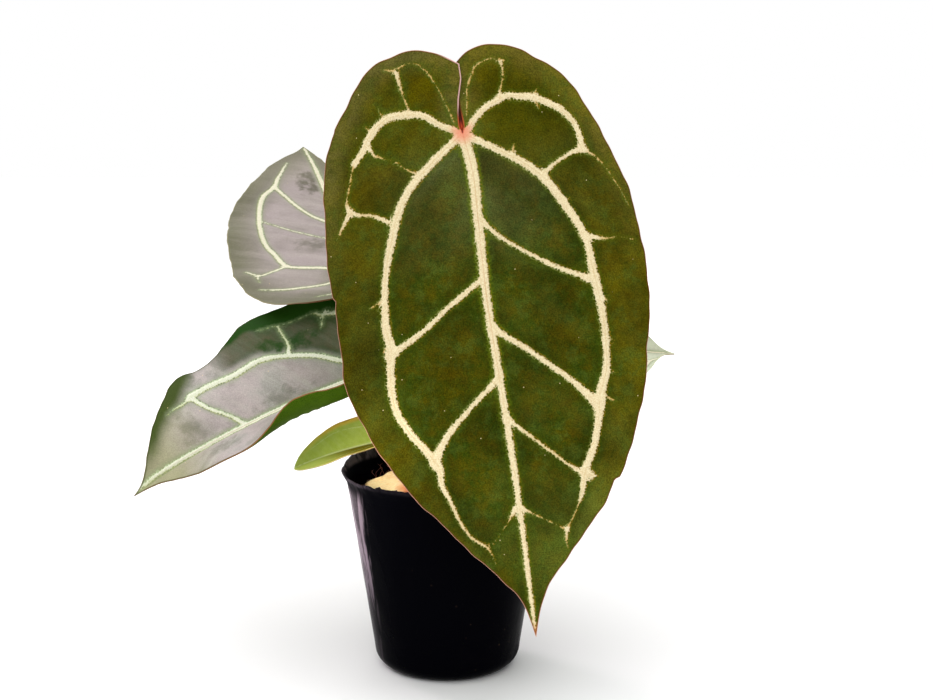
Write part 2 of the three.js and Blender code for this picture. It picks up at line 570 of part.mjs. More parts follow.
const plant = new THREE.Group();
plant.add(makePot());
const surfaces = Object.entries(LEAVES).map(([name, spec]) => [name, new LeafSurface(spec)]);
for (const [name, surface] of surfaces) {
  plant.add(makeBlade(name, surface));
  plant.add(toMesh(`stalk_${name}`, stalkSolid(surface), "stalk"));
}
plant.add(makeStem(surfaces.map(([, surface]) => stalkSolid(surface, GAP))));
for (const chip of CHIPS) {
  plant.add(toMesh(chip.name, chipSolid(chip), chip.name.startsWith("pale") ? "husk" : "bark"));
}
plant.add(makeMix([...CHIPS.map((chip) => chipSolid(chip, GAP)), ...ROOTS.map((root) => rootSolid(root, GAP))]));

export default plant;
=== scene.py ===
# A potted anthurium hybrid: five heart-shaped velvet leaves with cream veins, in a soft black nursery pot.
# Metres, +Z up, the large front leaf towards -Y. Leaf patterns are worked out in millimetres.
import math
import random
from functools import partial

import bmesh
import bpy
import numpy as np
from mathutils import Euler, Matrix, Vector, noise


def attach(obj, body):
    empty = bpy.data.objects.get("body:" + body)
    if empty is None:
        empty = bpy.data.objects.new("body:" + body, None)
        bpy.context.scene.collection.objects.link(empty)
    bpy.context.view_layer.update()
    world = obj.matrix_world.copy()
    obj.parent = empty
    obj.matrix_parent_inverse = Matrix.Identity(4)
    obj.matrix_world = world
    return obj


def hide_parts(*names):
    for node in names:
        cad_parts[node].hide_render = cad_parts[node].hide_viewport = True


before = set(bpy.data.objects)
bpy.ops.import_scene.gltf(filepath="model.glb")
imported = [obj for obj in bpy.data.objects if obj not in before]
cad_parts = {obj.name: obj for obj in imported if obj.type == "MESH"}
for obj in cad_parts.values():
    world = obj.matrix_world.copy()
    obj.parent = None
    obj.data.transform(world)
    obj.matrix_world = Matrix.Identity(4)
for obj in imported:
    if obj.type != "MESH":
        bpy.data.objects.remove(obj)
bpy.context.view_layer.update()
MM = 0.001

# The pot is a soft nursery pot, moulded in thin black polythene with a rolled lip, 105 mm across.
# Handling has pressed it a little out of round and crumpled its lip and upper wall.
# Eight round drain holes are punched through its base.
POT_HEIGHT = 100.0
POT_RIM_RADIUS = 52.5
POT_WALL_TOP_RADIUS = 49.6
POT_CORNER_RADIUS = 9.0
POT_BASE_RADIUS = 36.9
POT_WALL = 1.2
POT_FLOOR = 1.4
LIP_HEIGHT = 6.5
LIP_BOTTOM = POT_HEIGHT - LIP_HEIGHT
# The rolled lip goes up its outside, over and down again: in from the rim's radius, and below its top.
LIP_ROLL = ((2.4, 4.6), (1.9, 3.6), (1.4, 2.7), (0.9, 1.8), (0.4, 1.0), (0.1, 0.4), (0.3, 0.0), (0.8, 0.1),
            (1.3, 0.7), (1.8, 1.5), (2.3, 2.4), (2.9, 3.6), (3.5, 4.8))
WALL_LEAN = 8.5
POT_STEPS = 176
WALL_RINGS = 34
DRAIN_HOLES = 8
DRAIN_RING_RADIUS = 22.0
DRAIN_HOLE_RADIUS = 2.6
# The bearing round the wall of the painted highlight on its left side.
PAINTED_HIGHLIGHT_BEARING = -2.84
NICK_BEARING = -2.75
# A wave round the pot is its count, its size in millimetres and its start.
OUT_OF_ROUND = ((2, 0.7, 0.6), (3, 0.4, 2.1), (7, 0.3, 0.0))
LIP_RIPPLE = ((3, 0.6, 1.0), (5, 0.5, 2.2), (8, 0.4, 0.0))
# A tug on the lip is its bearing, its height in millimetres and its spread.
LIP_TUGS = ((-1.75, 2.0, 0.3), (2.4, 3.2, 0.35), (2.78, 3.0, 0.17))


def tone(red, green, blue):
    """A paint-chart colour, 0 to 255, as the linear colour that a shader takes."""
    channels = [c / 255 for c in (red, green, blue)]
    return tuple(c / 12.92 if c < 0.04 else ((c + 0.055) / 1.055) ** 2.4 for c in channels) + (1.0,)


def add_node(tree, kind, sockets=None, **settings):
    made = tree.nodes.new(kind)
    for name, value in settings.items():
        setattr(made, name, value)
    for name, value in (sockets or {}).items():
        if isinstance(value, bpy.types.NodeSocket):
            tree.links.new(value, made.inputs[name])
        else:
            made.inputs[name].default_value = value
    return made


def mixed(tree, share, low, high):
    return add_node(tree, "ShaderNodeMix", {0: share, 6: low, 7: high}, data_type="RGBA").outputs[2]


def ramp(tree, value, low, high, start=0.0, end=1.0):
    """Start below low and end above high, with a smooth step between."""
    sockets = {"Value": value, "From Min": low, "From Max": high, "To Min": start, "To Max": end}
    return add_node(tree, "ShaderNodeMapRange", sockets, interpolation_type="SMOOTHSTEP").outputs[0]


def maths(tree, operation, first, second=0.0):
    return add_node(tree, "ShaderNodeMath", {0: first, 1: second}, operation=operation).outputs[0]


def times(tree, first, *others):
    """The product of its values, most of which are masks from 0 to 1."""
    for other in others:
        first = maths(tree, "MULTIPLY", first, other)
    return first


def plus(tree, first, second):
    return maths(tree, "ADD", first, second)


def minus(tree, first, second):
    return maths(tree, "SUBTRACT", first, second)


def noise_at(tree, place, scale, detail=3.0, roughness=0.5):
    sockets = {"Vector": place, "Scale": scale, "Detail": detail, "Roughness": roughness}
    return add_node(tree, "ShaderNodeTexNoise", sockets).outputs[0]


def stretched(tree, place, scale):
    return add_node(tree, "ShaderNodeMapping", {"Vector": place, "Scale": scale}).outputs[0]


def new_material(name, sockets):
    made = bpy.data.materials.new(name)
    made.use_nodes = True
    tree = made.node_tree
    shader = tree.nodes["Principled BSDF"]
    for socket, value in sockets.items():
        shader.inputs[socket].default_value = value
    place = add_node(tree, "ShaderNodeTexCoord").outputs["Object"]
    return made, tree, shader, place


def paint(tree, shader, shade, height=None, strength=1.0):
    """The surface's colour, and its relief where it has one, whose height is in millimetres."""
    tree.links.new(shade, shader.inputs["Base Color"])
    if height is not None:
        bump = add_node(tree, "ShaderNodeBump", {"Height": height, "Strength": strength, "Distance": MM})
        tree.links.new(bump.outputs[0], shader.inputs["Normal"])


def new_group(name, inputs, outputs):
    group = bpy.data.node_groups.new(name, "ShaderNodeTree")
    for title in inputs:
        kind = "NodeSocketVector" if title == "Place" else "NodeSocketFloat"
        group.interface.new_socket(title, in_out="INPUT", socket_type=kind)
    for title in outputs:
        group.interface.new_socket(title, in_out="OUTPUT", socket_type="NodeSocketFloat")
    return group, group.nodes.new("NodeGroupInput").outputs, group.nodes.new("NodeGroupOutput").inputs


def use_group(tree, group, sockets):
    return add_node(tree, "ShaderNodeGroup", sockets, node_tree=group).outputs


def new_object(name, data):
    made = bpy.data.objects.new(name, data)
    bpy.context.scene.collection.objects.link(made)
    return made


def mesh_data(name, mesh):
    data = bpy.data.meshes.new(name)
    mesh.to_mesh(data)
    mesh.free()
    return data


def finish_piece(name, mesh, materials, nodes=(), sharp=None):
    """Turns a bmesh into an object that rides on the plant and stands for its solids."""
    data = mesh_data(name, mesh)
    for material in materials:
        data.materials.append(material)
    data.shade_smooth()
    if sharp:
        data.set_sharp_from_angle(angle=math.radians(sharp))
    made = new_object(name, data)
    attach(made, "root")
    if nodes:
        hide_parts(*nodes)
    return made


def smooth_share(value, low, high):
    share = np.clip((value - low) / (high - low), 0, 1)
    return share * share * (3 - 2 * share)


def swing(angle, waves):
    return sum(size * math.cos(count * angle + start) for count, size, start in waves)


def press(x, y, z):
    """The soft wall is pressed out of round, more so towards the lip."""
    angle = math.atan2(y, x)
    radius = math.hypot(x, y)
    share = (max(z, 0) / POT_HEIGHT) ** 1.5 * (radius / POT_RIM_RADIUS)
    pushed = radius + share * swing(angle, OUT_OF_ROUND)
    lip_share = float(smooth_share(z, POT_HEIGHT - LIP_HEIGHT * 1.6, POT_HEIGHT))
    return pushed * math.cos(angle), pushed * math.sin(angle), z + lip_share * swing(angle, LIP_RIPPLE)


def wall_radius(height):
    share = (height - POT_CORNER_RADIUS) / (LIP_BOTTOM - POT_CORNER_RADIUS)
    return POT_BASE_RADIUS + (POT_WALL_TOP_RADIUS - POT_BASE_RADIUS) * share


def corner_arc(radius, start, end, steps):
    centre = POT_BASE_RADIUS - POT_CORNER_RADIUS
    angles = [math.radians(start + (end - start) * i / steps) for i in range(steps + 1)]
    return [(centre + radius * math.cos(a), POT_CORNER_RADIUS + radius * math.sin(a)) for a in angles]


def turned(profile, steps):
    """A closed form spun round the pot's axis from (radius, height) points in millimetres."""
    mesh = bmesh.new()
    verts = [mesh.verts.new((radius * MM, 0, height * MM)) for radius, height in profile]
    edges = [mesh.edges.new(pair) for pair in zip(verts, verts[1:])]
    bmesh.ops.spin(mesh, geom=verts + edges, axis=(0, 0, 1), cent=(0, 0, 0), angle=2 * math.pi,
                   steps=steps, use_merge=True)
    bmesh.ops.remove_doubles(mesh, verts=mesh.verts, dist=1e-6)
    bmesh.ops.recalc_face_normals(mesh, faces=mesh.faces)
    return mesh


def crumple(x, y, z):
    """Creases of the handled film, in millimetres outwards: upright folds that grow towards the lip."""
    angle = math.atan2(y, x)
    around = Vector((3.2 * math.cos(angle), 3.2 * math.sin(angle), z * 0.022))
    folds = noise.noise(around) * 0.9 + abs(noise.noise(around * 2.3)) * 0.7
    grows = float(smooth_share(z, 8, 96))
    nick = 1.1 * math.exp(-((angle - NICK_BEARING) / 0.16) ** 2) * float(smooth_share(z, 84, 98))
    return grows * folds - nick


heights = [float(h) for h in np.linspace(12, LIP_BOTTOM - 2, WALL_RINGS)]
pot_profile = [(0, 0), *[(r, 0) for r in (8, 16, 24)], *corner_arc(POT_CORNER_RADIUS, -90, -WALL_LEAN, 10)]
pot_profile += [(wall_radius(h), h) for h in heights]
pot_profile += [(POT_WALL_TOP_RADIUS + 0.1, LIP_BOTTOM + 0.6)]
pot_profile += [(POT_RIM_RADIUS - inward, POT_HEIGHT - below) for inward, below in LIP_ROLL]
pot_profile += [(wall_radius(h) - POT_WALL, h) for h in [LIP_BOTTOM, *heights[::-1]]]
pot_profile += corner_arc(POT_CORNER_RADIUS - POT_FLOOR, -WALL_LEAN, -90, 8)
pot_profile += [(r, POT_FLOOR) for r in (24, 16, 8, 0)]
pot_mesh = turned(pot_profile, POT_STEPS)
for vert in pot_mesh.verts:
    x, y, z = (c / MM for c in vert.co)
    radius = math.hypot(x, y)
    if radius > 1:
        grown = 1 + crumple(x, y, z) * 0.55 * smooth_share(z, 8, 30) / radius
        broad, short = Vector((0.14 * x, 0.14 * y, 2.0)), Vector((0.42 * x, 0.42 * y, 5.0))
        tug = noise.noise(broad) + 0.6 * noise.noise(short)
        angle = math.atan2(y, x)
        tug += sum(high * math.exp(-((angle - bearing) / wide) ** 2) for bearing, high, wide in LIP_TUGS)
        tug *= float(smooth_share(z, 90, 99))
        x, y, z = press(x * grown, y * grown, z + tug)
    vert.co = (x * MM, y * MM, z * MM)

polythene, tree, shader, place = new_material(
    "black polythene", {"Roughness": 0.24, "Specular IOR Level": 0.02, "IOR": 1.3})
grain_group, given, made = new_group("Speckle", ["Place", "Scale", "Share"], ["Specks"])
cells = add_node(grain_group, "ShaderNodeTexVoronoi", {"Vector": given["Place"], "Scale": given["Scale"]})
chosen = add_node(grain_group, "ShaderNodeSeparateColor", {0: cells.outputs["Color"]}).outputs[0]
picked = maths(grain_group, "LESS_THAN", chosen, given["Share"])
dot = ramp(grain_group, cells.outputs["Distance"], 0.1, 0.34, 1.0, 0.0)
grain_group.links.new(times(grain_group, picked, dot), made["Specks"])


def specks(tree, place, scale, share):
    """Round dots in a share of the cells of a random pattern."""
    return use_group(tree, grain_group, {"Place": place, "Scale": scale, "Share": share})["Specks"]


film = noise_at(tree, stretched(tree, place, (1.0, 1.0, 0.12)), 90.0, 5.0, 0.6)
dents = noise_at(tree, place, 60.0, 2.0)
cloud = noise_at(tree, place, 34.0, 5.0, 0.65)
axes = add_node(tree, "ShaderNodeSeparateXYZ", {0: place}).outputs
left_side, height_up = axes["X"], axes["Z"]
dust = times(tree, ramp(tree, cloud, 0.52, 0.74), ramp(tree, height_up, 0.0, 0.03, 1.0, 0.25))
shade = mixed(tree, times(tree, dust, 0.18), tone(2, 2, 5), tone(22, 18, 20))
shade = mixed(tree, times(tree, specks(tree, place, 420.0, 0.05), dust), shade, tone(120, 96, 74))
flat = add_node(tree, "ShaderNodeVectorMath", {0: place, 1: (1.0, 1.0, 0.0)}, operation="MULTIPLY").outputs[0]
flat = add_node(tree, "ShaderNodeVectorMath", {0: flat}, operation="NORMALIZE").outputs[0]
# Painted highlight: a pale lilac, streaked band down the wall's left side, painted into the polythene's
# colour.
painted_highlight_way = (math.cos(PAINTED_HIGHLIGHT_BEARING), math.sin(PAINTED_HIGHLIGHT_BEARING), 0.0)
toward = add_node(tree, "ShaderNodeVectorMath", {0: flat, 1: painted_highlight_way}, operation="DOT_PRODUCT")
toward = toward.outputs["Value"]
streaky = noise_at(tree, stretched(tree, place, (1.0, 1.0, 0.06)), 260.0, 3.0, 0.6)
ragged = plus(tree, toward, ramp(tree, streaky, 0.3, 0.7, -0.012, 0.012))
painted_highlight = times(tree, ramp(tree, ragged, ramp(tree, height_up, 0.0, 0.095, 0.97, 0.95), 0.986),
              ramp(tree, height_up, 0.02, 0.065, 0.08, 1.0), ramp(tree, height_up, 0.088, 0.096, 1.0, 0.05),
              ramp(tree, streaky, 0.42, 0.54, 0.3, 1.0))
shade = mixed(tree, painted_highlight, shade, tone(142, 126, 138))
# Painted highlight along the top of the lip, strongest at the far left.
lip_highlight = times(tree, ramp(tree, height_up, 0.0975, 0.0998), ramp(tree, streaky, 0.4, 0.6, 0.2, 0.8),
             ramp(tree, left_side, -0.044, -0.034, 1.0, 0.08))
shade = mixed(tree, lip_highlight, shade, tone(104, 94, 104))
dull = ramp(tree, plus(tree, cloud, dust), 0.4, 1.3, 0.24, 0.5)
dull = plus(tree, dull, ramp(tree, height_up, 0.09, 0.095, 0.0, 0.25))
tree.links.new(dull, shader.inputs["Roughness"])
paint(tree, shader, shade, plus(tree, times(tree, film, 0.35), dents), 0.4)

pot = finish_piece("nursery_pot", pot_mesh, [polythene], ["pot"])
punch_mesh = bmesh.new()
for i in range(DRAIN_HOLES):
    angle = 2 * math.pi * i / DRAIN_HOLES
    hole = bmesh.ops.create_cone(punch_mesh, cap_ends=True, segments=24, radius1=DRAIN_HOLE_RADIUS * MM,
                                 radius2=DRAIN_HOLE_RADIUS * MM, depth=8 * MM)
    middle = Vector((math.cos(angle), math.sin(angle), 0)) * DRAIN_RING_RADIUS * MM
    bmesh.ops.translate(punch_mesh, verts=hole["verts"], vec=middle)
punch = new_object("punch", mesh_data("punch", punch_mesh))
cut = pot.modifiers.new("drain holes", "BOOLEAN")
cut.object = punch
cut.operation = "DIFFERENCE"
cut.solver = "EXACT"
bpy.context.view_layer.update()
holed = bpy.data.meshes.new_from_object(pot.evaluated_get(bpy.context.evaluated_depsgraph_get()))
pot.modifiers.clear()
pot.data = holed
pot.data.shade_smooth()
pot.data.set_sharp_from_angle(angle=math.radians(60))
bpy.data.objects.remove(punch)

# The potting mix is an open aroid mix of bark granules, pumice, charcoal and coir, filled to 13 mm below
# the lip. Its top is uneven, with a low mound that the pale husk chip leans on.
SOIL_LEVEL = 87.0
GAP = 0.3
STEM_X = 1.0
STEM_Y = 4.0
MIX_STEPS = 150
MIX_GRANULES = 520
MIDDLE_REACH = 41.5
WALL_REACH = 47.0
COIR_STRANDS = 70
TALL_STRANDS = 7
STRAND_STEPS = 8
STRAND_STEP = 1.9
MOUND_X = -27.0
MOUND_Y = 9.0
MOUND_HEIGHT = 1.8
MOUND_SPREAD = 240.0
HUSK_Y = 5.0
HUSK_CLEARANCE = 13.0
STEM_CLEARANCE = 10.5
dice = random.Random(11)


def mix_height(x, y):
    bumps = 0.9 * math.sin(0.31 * x + 1) * math.cos(0.27 * y) + 0.5 * math.sin(0.73 * x + 0.55 * y)
    mound = MOUND_HEIGHT * math.exp(-((x - MOUND_X) ** 2 + (y - MOUND_Y) ** 2) / MOUND_SPREAD)
    return SOIL_LEVEL + bumps + mound


def mix_edge(height):
    return wall_radius(height) - POT_WALL - GAP - 0.1


mix_profile = [(0, POT_FLOOR + GAP), *corner_arc(POT_CORNER_RADIUS - POT_FLOOR - GAP, -90, -WALL_LEAN, 5)]
mix_profile += [(mix_edge(h), h) for h in np.linspace(14, SOIL_LEVEL, 8)]
mix_profile += [(float(r), SOIL_LEVEL) for r in np.linspace(mix_edge(SOIL_LEVEL) - 0.8, 0, 44)]
mix_mesh = turned(mix_profile, MIX_STEPS)
for vert in mix_mesh.verts:
    x, y, z = (c / MM for c in vert.co)
    radius = math.hypot(x, y)
    if z > SOIL_LEVEL - GAP:
        crumb = noise.noise(Vector((x, y, 0)) * 0.33) * 0.9 + noise.noise(Vector((x, y, 7)) * 0.9) * 0.5
        z = mix_height(x, y) + crumb * min(1.0, (48 - radius) / 4)
        if radius > mix_edge(SOIL_LEVEL) - GAP:
            x, y = (c * mix_edge(z) / radius for c in (x, y))
    vert.co = tuple(c * MM for c in press(x, y, z))

loam, tree, shader, place = new_material("potting mix", {"Roughness": 0.95, "Specular IOR Level": 0.2})
lumps = noise_at(tree, place, 420.0, 6.0, 0.7)
patches = noise_at(tree, place, 90.0, 3.0)
crumbs = add_node(tree, "ShaderNodeTexVoronoi", {"Vector": place, "Scale": 620.0})
shade = mixed(tree, ramp(tree, lumps, 0.32, 0.68), tone(24, 15, 9), tone(92, 58, 34))
shade = mixed(tree, ramp(tree, patches, 0.5, 0.75, 0.0, 0.6), shade, tone(122, 62, 34))
shade = mixed(tree, specks(tree, place, 330.0, 0.07), shade, tone(176, 158, 128))
paint(tree, shader, shade, plus(tree, lumps, crumbs.outputs["Distance"]), 1.0)
finish_piece("mix_body", mix_mesh, [loam], ["potting_mix"])

granules = bmesh.new()
tint_layer = granules.verts.layers.float.new("tint")
for i in range(MIX_GRANULES):
    far = (MIDDLE_REACH if i % 3 else WALL_REACH) * math.sqrt(dice.random())
    turn = dice.uniform(0, 2 * math.pi)
    x, y = far * math.cos(turn), far * math.sin(turn)
    from_husk = math.hypot(x - MOUND_X, (y - HUSK_Y) * 1.3)
    if math.hypot(x - STEM_X, y - STEM_Y) < STEM_CLEARANCE or from_husk < HUSK_CLEARANCE:
        continue
    size = dice.choice((1.0, 1.3, 1.6, 2.2, 2.9)) * dice.uniform(0.8, 1.2)
    if far > WALL_REACH - 0.5 - size:
        continue
    seen = bmesh.ops.create_icosphere(granules, subdivisions=1, radius=size * MM)["verts"]
    stretch = Vector((dice.uniform(0.8, 1.5), dice.uniform(0.6, 1.1), dice.uniform(0.45, 0.9)))
    spin = Euler([dice.uniform(0, 6.28) for _ in range(3)])
    tint = dice.random()
    for vert in seen:
        vert.co = Vector(a * b for a, b in zip(vert.co, stretch)) * dice.uniform(0.78, 1.18)
        vert.co.rotate(spin)
        vert.co += Vector(press(x, y, mix_height(x, y) + 0.35 * size)) * MM
        vert[tint_layer] = tint
bmesh.ops.recalc_face_normals(granules, faces=granules.faces)

grit, tree, shader, place = new_material("mix granules", {"Roughness": 0.9, "Specular IOR Level": 0.25})
tint = add_node(tree, "ShaderNodeAttribute", attribute_name="tint").outputs["Fac"]
fine = noise_at(tree, place, 900.0, 4.0, 0.7)
shade = mixed(tree, ramp(tree, tint, 0.2, 0.6), tone(38, 23, 14), tone(104, 56, 30))
shade = mixed(tree, ramp(tree, tint, 0.68, 0.8), shade, tone(148, 106, 64))
shade = mixed(tree, ramp(tree, tint, 0.9, 0.92), shade, tone(206, 198, 180))
shade = mixed(tree, ramp(tree, tint, 0.1, 0.06), shade, tone(20, 19, 20))
shade = mixed(tree, ramp(tree, fine, 0.35, 0.7, 0.55, 0.0), shade, tone(18, 12, 8))
paint(tree, shader, shade, fine, 0.8)
finish_piece("mix_granules", granules, [grit], sharp=35)


def tube(mesh, centres, radii, sides, squash=1.0):
    """A rod with closed ends along centres, in millimetres, with parallel-carried rings."""
    centres = np.array(centres, float)
    ahead = np.gradient(centres, axis=0)
    ahead /= np.linalg.norm(ahead, axis=1)[:, None]
    side = np.cross(ahead[0], (0.0, 0.0, 1.0) if abs(ahead[0][2]) < 0.9 else (1.0, 0.0, 0.0))
    sides_out = []
    for direction in ahead:
        side = side - direction * side.dot(direction)
        side /= np.linalg.norm(side)
        sides_out.append(side)
    rings = len(centres) - 1
    fresh = bmesh.ops.create_grid(mesh, x_segments=sides, y_segments=rings, size=0.5)["verts"]
    for vert in fresh:
        turn = 2 * math.pi * (vert.co.x + 0.5)
        i = round((vert.co.y + 0.5) * rings)
        other = np.cross(ahead[i], sides_out[i])
        reach = 0.0 if i in (0, rings) else radii[i]
        spot = centres[i] + reach * (math.cos(turn) * sides_out[i] + squash * math.sin(turn) * other)
        vert.co = Vector(spot) * MM
    bmesh.ops.remove_doubles(mesh, verts=fresh, dist=1e-7)


coir = bmesh.new()
for _ in range(COIR_STRANDS):
    turn = dice.uniform(0, 2 * math.pi)
    far = dice.uniform(14, 40)
    x, y = far * math.cos(turn), far * math.sin(turn)
    heading = dice.uniform(0, 2 * math.pi)
    bend = dice.uniform(-0.35, 0.35)
    strand = []
    for step in range(STRAND_STEPS):
        hop = 1.2 * math.sin(step * 0.9 + turn)
        strand.append(press(x, y, mix_height(x, y) + 1.3 + hop))
        heading += bend
        x += STRAND_STEP * math.cos(heading)
        y += STRAND_STEP * math.sin(heading)
        if math.hypot(x, y) > 45:
            break
    if len(strand) > 3:
        tube(coir, strand, [0.16] * len(strand), 4)
for k in range(TALL_STRANDS):
    x, y = -38 + 1.4 * k, 25 + 1.1 * k
    strand = []
    for step in range(STRAND_STEPS):
        lean = 0.8 * math.sin(step * 0.9 + k * 2.1)
        level = mix_height(x, y) - 0.5 + (0.9 + 0.16 * (k % 4)) * step
        strand.append((x + lean * step * 0.35, y + 0.25 * step, level))
    tube(coir, strand, [0.13] * len(strand), 4)
bmesh.ops.recalc_face_normals(coir, faces=coir.faces)
strand_look, tree, shader, place = new_material("coir strands", {"Roughness": 0.75})
paint(tree, shader, mixed(tree, noise_at(tree, place, 500.0), tone(44, 14, 8), tone(100, 42, 22)))
finish_piece("coir_strands", coir, [strand_look])

# Flakes of orchid bark and one pale, curved husk chip lie on the mix. Bark flakes are split from pine bark,
# so they show corky layers at their edges; the husk chip is cut coconut husk with long fibres.
# A chip is its centre, over the mix's level, then its size, its tilt in degrees and how far its ends cup up.
CHIPS = {
    "pale_husk_chip": ((-27.5, 3, 3.8), (27, 19, 2.4), (28, -8, -14), 2.2),
    "bark_chip_1": ((-8, -26, 1.4), (19, 11, 4), (6, -5, 35), 0.8),
    "bark_chip_2": ((17, -29, 1.2), (15, 12, 4.5), (-8, 6, 80), 0.6),
    "bark_chip_3": ((30, -4, 1.2), (20, 10, 4), (5, 9, 110), 0.8),
    "bark_chip_4": ((22, 26, 1.2), (17, 13, 4.5), (9, -6, 20), 0.6),
    "bark_chip_5": ((-3, 34, 1.2), (19, 10, 3.6), (-7, 5, 160), 0.8),
    "bark_chip_6": ((-33, -17, 1.6), (14, 9, 4), (8, 7, 60), 0.5),
}
CHIP_CUTS = 17

fibre_group, given, made = new_group("Fibre grain", ["Place", "Across", "Along"], ["Grain", "Cracks"])
scales = {0: given["Along"], 1: given["Across"], 2: given["Across"]}
stretch = add_node(fibre_group, "ShaderNodeCombineXYZ", scales).outputs[0]
drawn = add_node(fibre_group, "ShaderNodeVectorMath", {0: given["Place"], 1: stretch}, operation="MULTIPLY")
drawn = drawn.outputs[0]
fibre_group.links.new(noise_at(fibre_group, drawn, 1.0, 5.0, 0.6), made["Grain"])
lines = noise_at(fibre_group, drawn, 2.7, 2.0, 0.5)
fibre_group.links.new(ramp(fibre_group, lines, 0.4, 0.5, 1.0, 0.0), made["Cracks"])


def fibrous(name, sockets, across, along):
    """A new material, with the grain and the cracks of fibres that run along each flake's own chart."""
    made, tree, shader, place = new_material(name, sockets)
    chart_place = add_node(tree, "ShaderNodeUVMap", uv_map="Flake").outputs[0]
    fibres = use_group(tree, fibre_group, {"Place": chart_place, "Across": across, "Along": along})
    return made, tree, shader, place, fibres["Grain"], fibres["Cracks"]


bark, tree, shader, place, grain, cracks = fibrous(
    "pine bark", {"Roughness": 0.88, "Specular IOR Level": 0.25}, 9.0, 3.0)
cork = noise_at(tree, place, 380.0, 5.0, 0.65)
shade = mixed(tree, ramp(tree, grain, 0.3, 0.7), tone(58, 30, 17), tone(150, 84, 46))
shade = mixed(tree, ramp(tree, cork, 0.5, 0.72, 0.0, 0.7), shade, tone(176, 122, 78))
shade = mixed(tree, times(tree, cracks, 0.75), shade, tone(24, 13, 8))
paint(tree, shader, shade, minus(tree, cork, times(tree, cracks, 0.8)), 0.9)

husk, tree, shader, place, grain, cracks = fibrous(
    "pale husk", {"Roughness": 0.62, "Specular IOR Level": 0.3}, 22.0, 2.2)
blotching = noise_at(tree, place, 120.0, 4.0)
shade = mixed(tree, ramp(tree, grain, 0.3, 0.72), tone(255, 220, 156), tone(255, 242, 200))
shade = mixed(tree, ramp(tree, blotching, 0.5, 0.7, 0.0, 0.7), shade, tone(236, 176, 104))
right_side = add_node(tree, "ShaderNodeSeparateXYZ", {0: place}).outputs["X"]
scorched = times(tree, ramp(tree, right_side, -0.027, -0.018), ramp(tree, blotching, 0.35, 0.6, 0.6, 1.0))
shade = mixed(tree, scorched, shade, tone(230, 104, 46))
shade = mixed(tree, times(tree, cracks, 0.3), shade, tone(196, 138, 80))
paint(tree, shader, shade, grain, 0.35)

for name, ((x, y, rise), size, tilt, cup) in CHIPS.items():
    centre = Vector((x, y, SOIL_LEVEL + rise))
    pale = name.startswith("pale")
    flake = bmesh.new()
    bmesh.ops.create_cube(flake, size=1.0)
    bmesh.ops.subdivide_edges(flake, edges=flake.edges, cuts=CHIP_CUTS, use_grid_fill=True)
    chart = flake.loops.layers.uv.new("Flake")
    for face in flake.faces:
        for loop in face.loops:
            spot = loop.vert.co
            loop[chart].uv = (spot.x * size[0] / 10 + size[1], spot.y * size[1] / 10 + spot.z * size[2] / 4)
    turn = Euler([math.radians(angle) for angle in tilt])
    for vert in flake.verts:
        across, beside, level = (2 * c for c in vert.co)
        corner = 1 - 0.24 * across ** 2 * beside ** 2
        uneven = 1 + 0.07 * math.sin(5 * across + size[0]) + 0.06 * math.cos(4 * beside + size[1])
        if pale:
            corner *= 1 - 0.4 * max(-across, 0) ** 2 * abs(beside)
        rim_share = max(abs(across), abs(beside))
        thin = 1 - 0.45 * rim_share ** 3
        lift = cup * (0.7 * across ** 2 + 0.3 * beside ** 2) + 0.12 * cup * math.sin(6 * across + 2 * beside)
        spot = Vector((across * size[0] / 2 * corner * uneven, beside * size[1] / 2 * corner * uneven,
                       level * size[2] / 2 * thin + lift))
        layers = noise.noise(Vector((spot.x * 0.12, spot.y * 0.12, spot.z * 2.6 + size[0])))
        rough = noise.noise(spot * 0.5 + Vector((size[0], 0, 0)))
        ragged = smooth_share(rim_share, 0.8, 1.0) * (0.35 if pale else 1.0)
        spot.x += across * ragged * (0.9 * layers + 0.4 * rough)
        spot.y += beside * ragged * (0.9 * layers + 0.4 * rough)
        spot.z += (0.15 if pale else 0.5) * rough * (1 - 0.5 * ragged)
        spot.rotate(turn)
        vert.co = (spot + centre) * MM
    bmesh.ops.recalc_face_normals(flake, faces=flake.faces)
    finish_piece(name + "_flake", flake, [husk if pale else bark], [name])

# The stem is a short, corky rootstock with the scars of old leaves, sunk in the mix.
# Dry papery sheaths stand round its crown, and a few thick aerial roots bend down into the mix.
STEM_RADIUS = 8.5
STEM_STEPS = 56
STALK_BASE_LEVEL = 88.0
# A sheath is its bearing, height, width and outward lean; a root its bearing, level, reach and radius.
SHEATHS = [(126, 21, 9, 0.18), (178, 13, 8, 0.25), (250, 24, 9, 0.12), (-25, 19, 8, 0.22)]
ROOTS = [(55, 95, 15, 1.6), (-95, 94, 13, 1.4), (142, 93.5, 14, 1.3)]

stem_profile = [(0, 62), (3, 62), (6, 63), (7.9, 66), (8.3, 69), (8.5, 72), (8.1, 73.4), (7.6, 74.5), (8, 76),
                (8.4, 79), (8.5, 81), (8, 82), (7.6, 83), (8, 84.5), (8.4, 87), (8.5, 88), (8, 89.4),
                (7.6, 90.5), (7.9, 92), (8.2, 95), (7.9, 97), (7.3, 98.5), (6.2, 99.8), (4.5, 100.6),
                (2.2, 100.9), (0, 101)]
crown = turned(stem_profile, STEM_STEPS)
for vert in crown.verts:
    spot = vert.co / MM
    spot += Vector((spot.x, spot.y, 0)).normalized() * noise.noise(spot * 0.35) * 0.8
    vert.co = (spot + Vector((STEM_X, STEM_Y, 0))) * MM

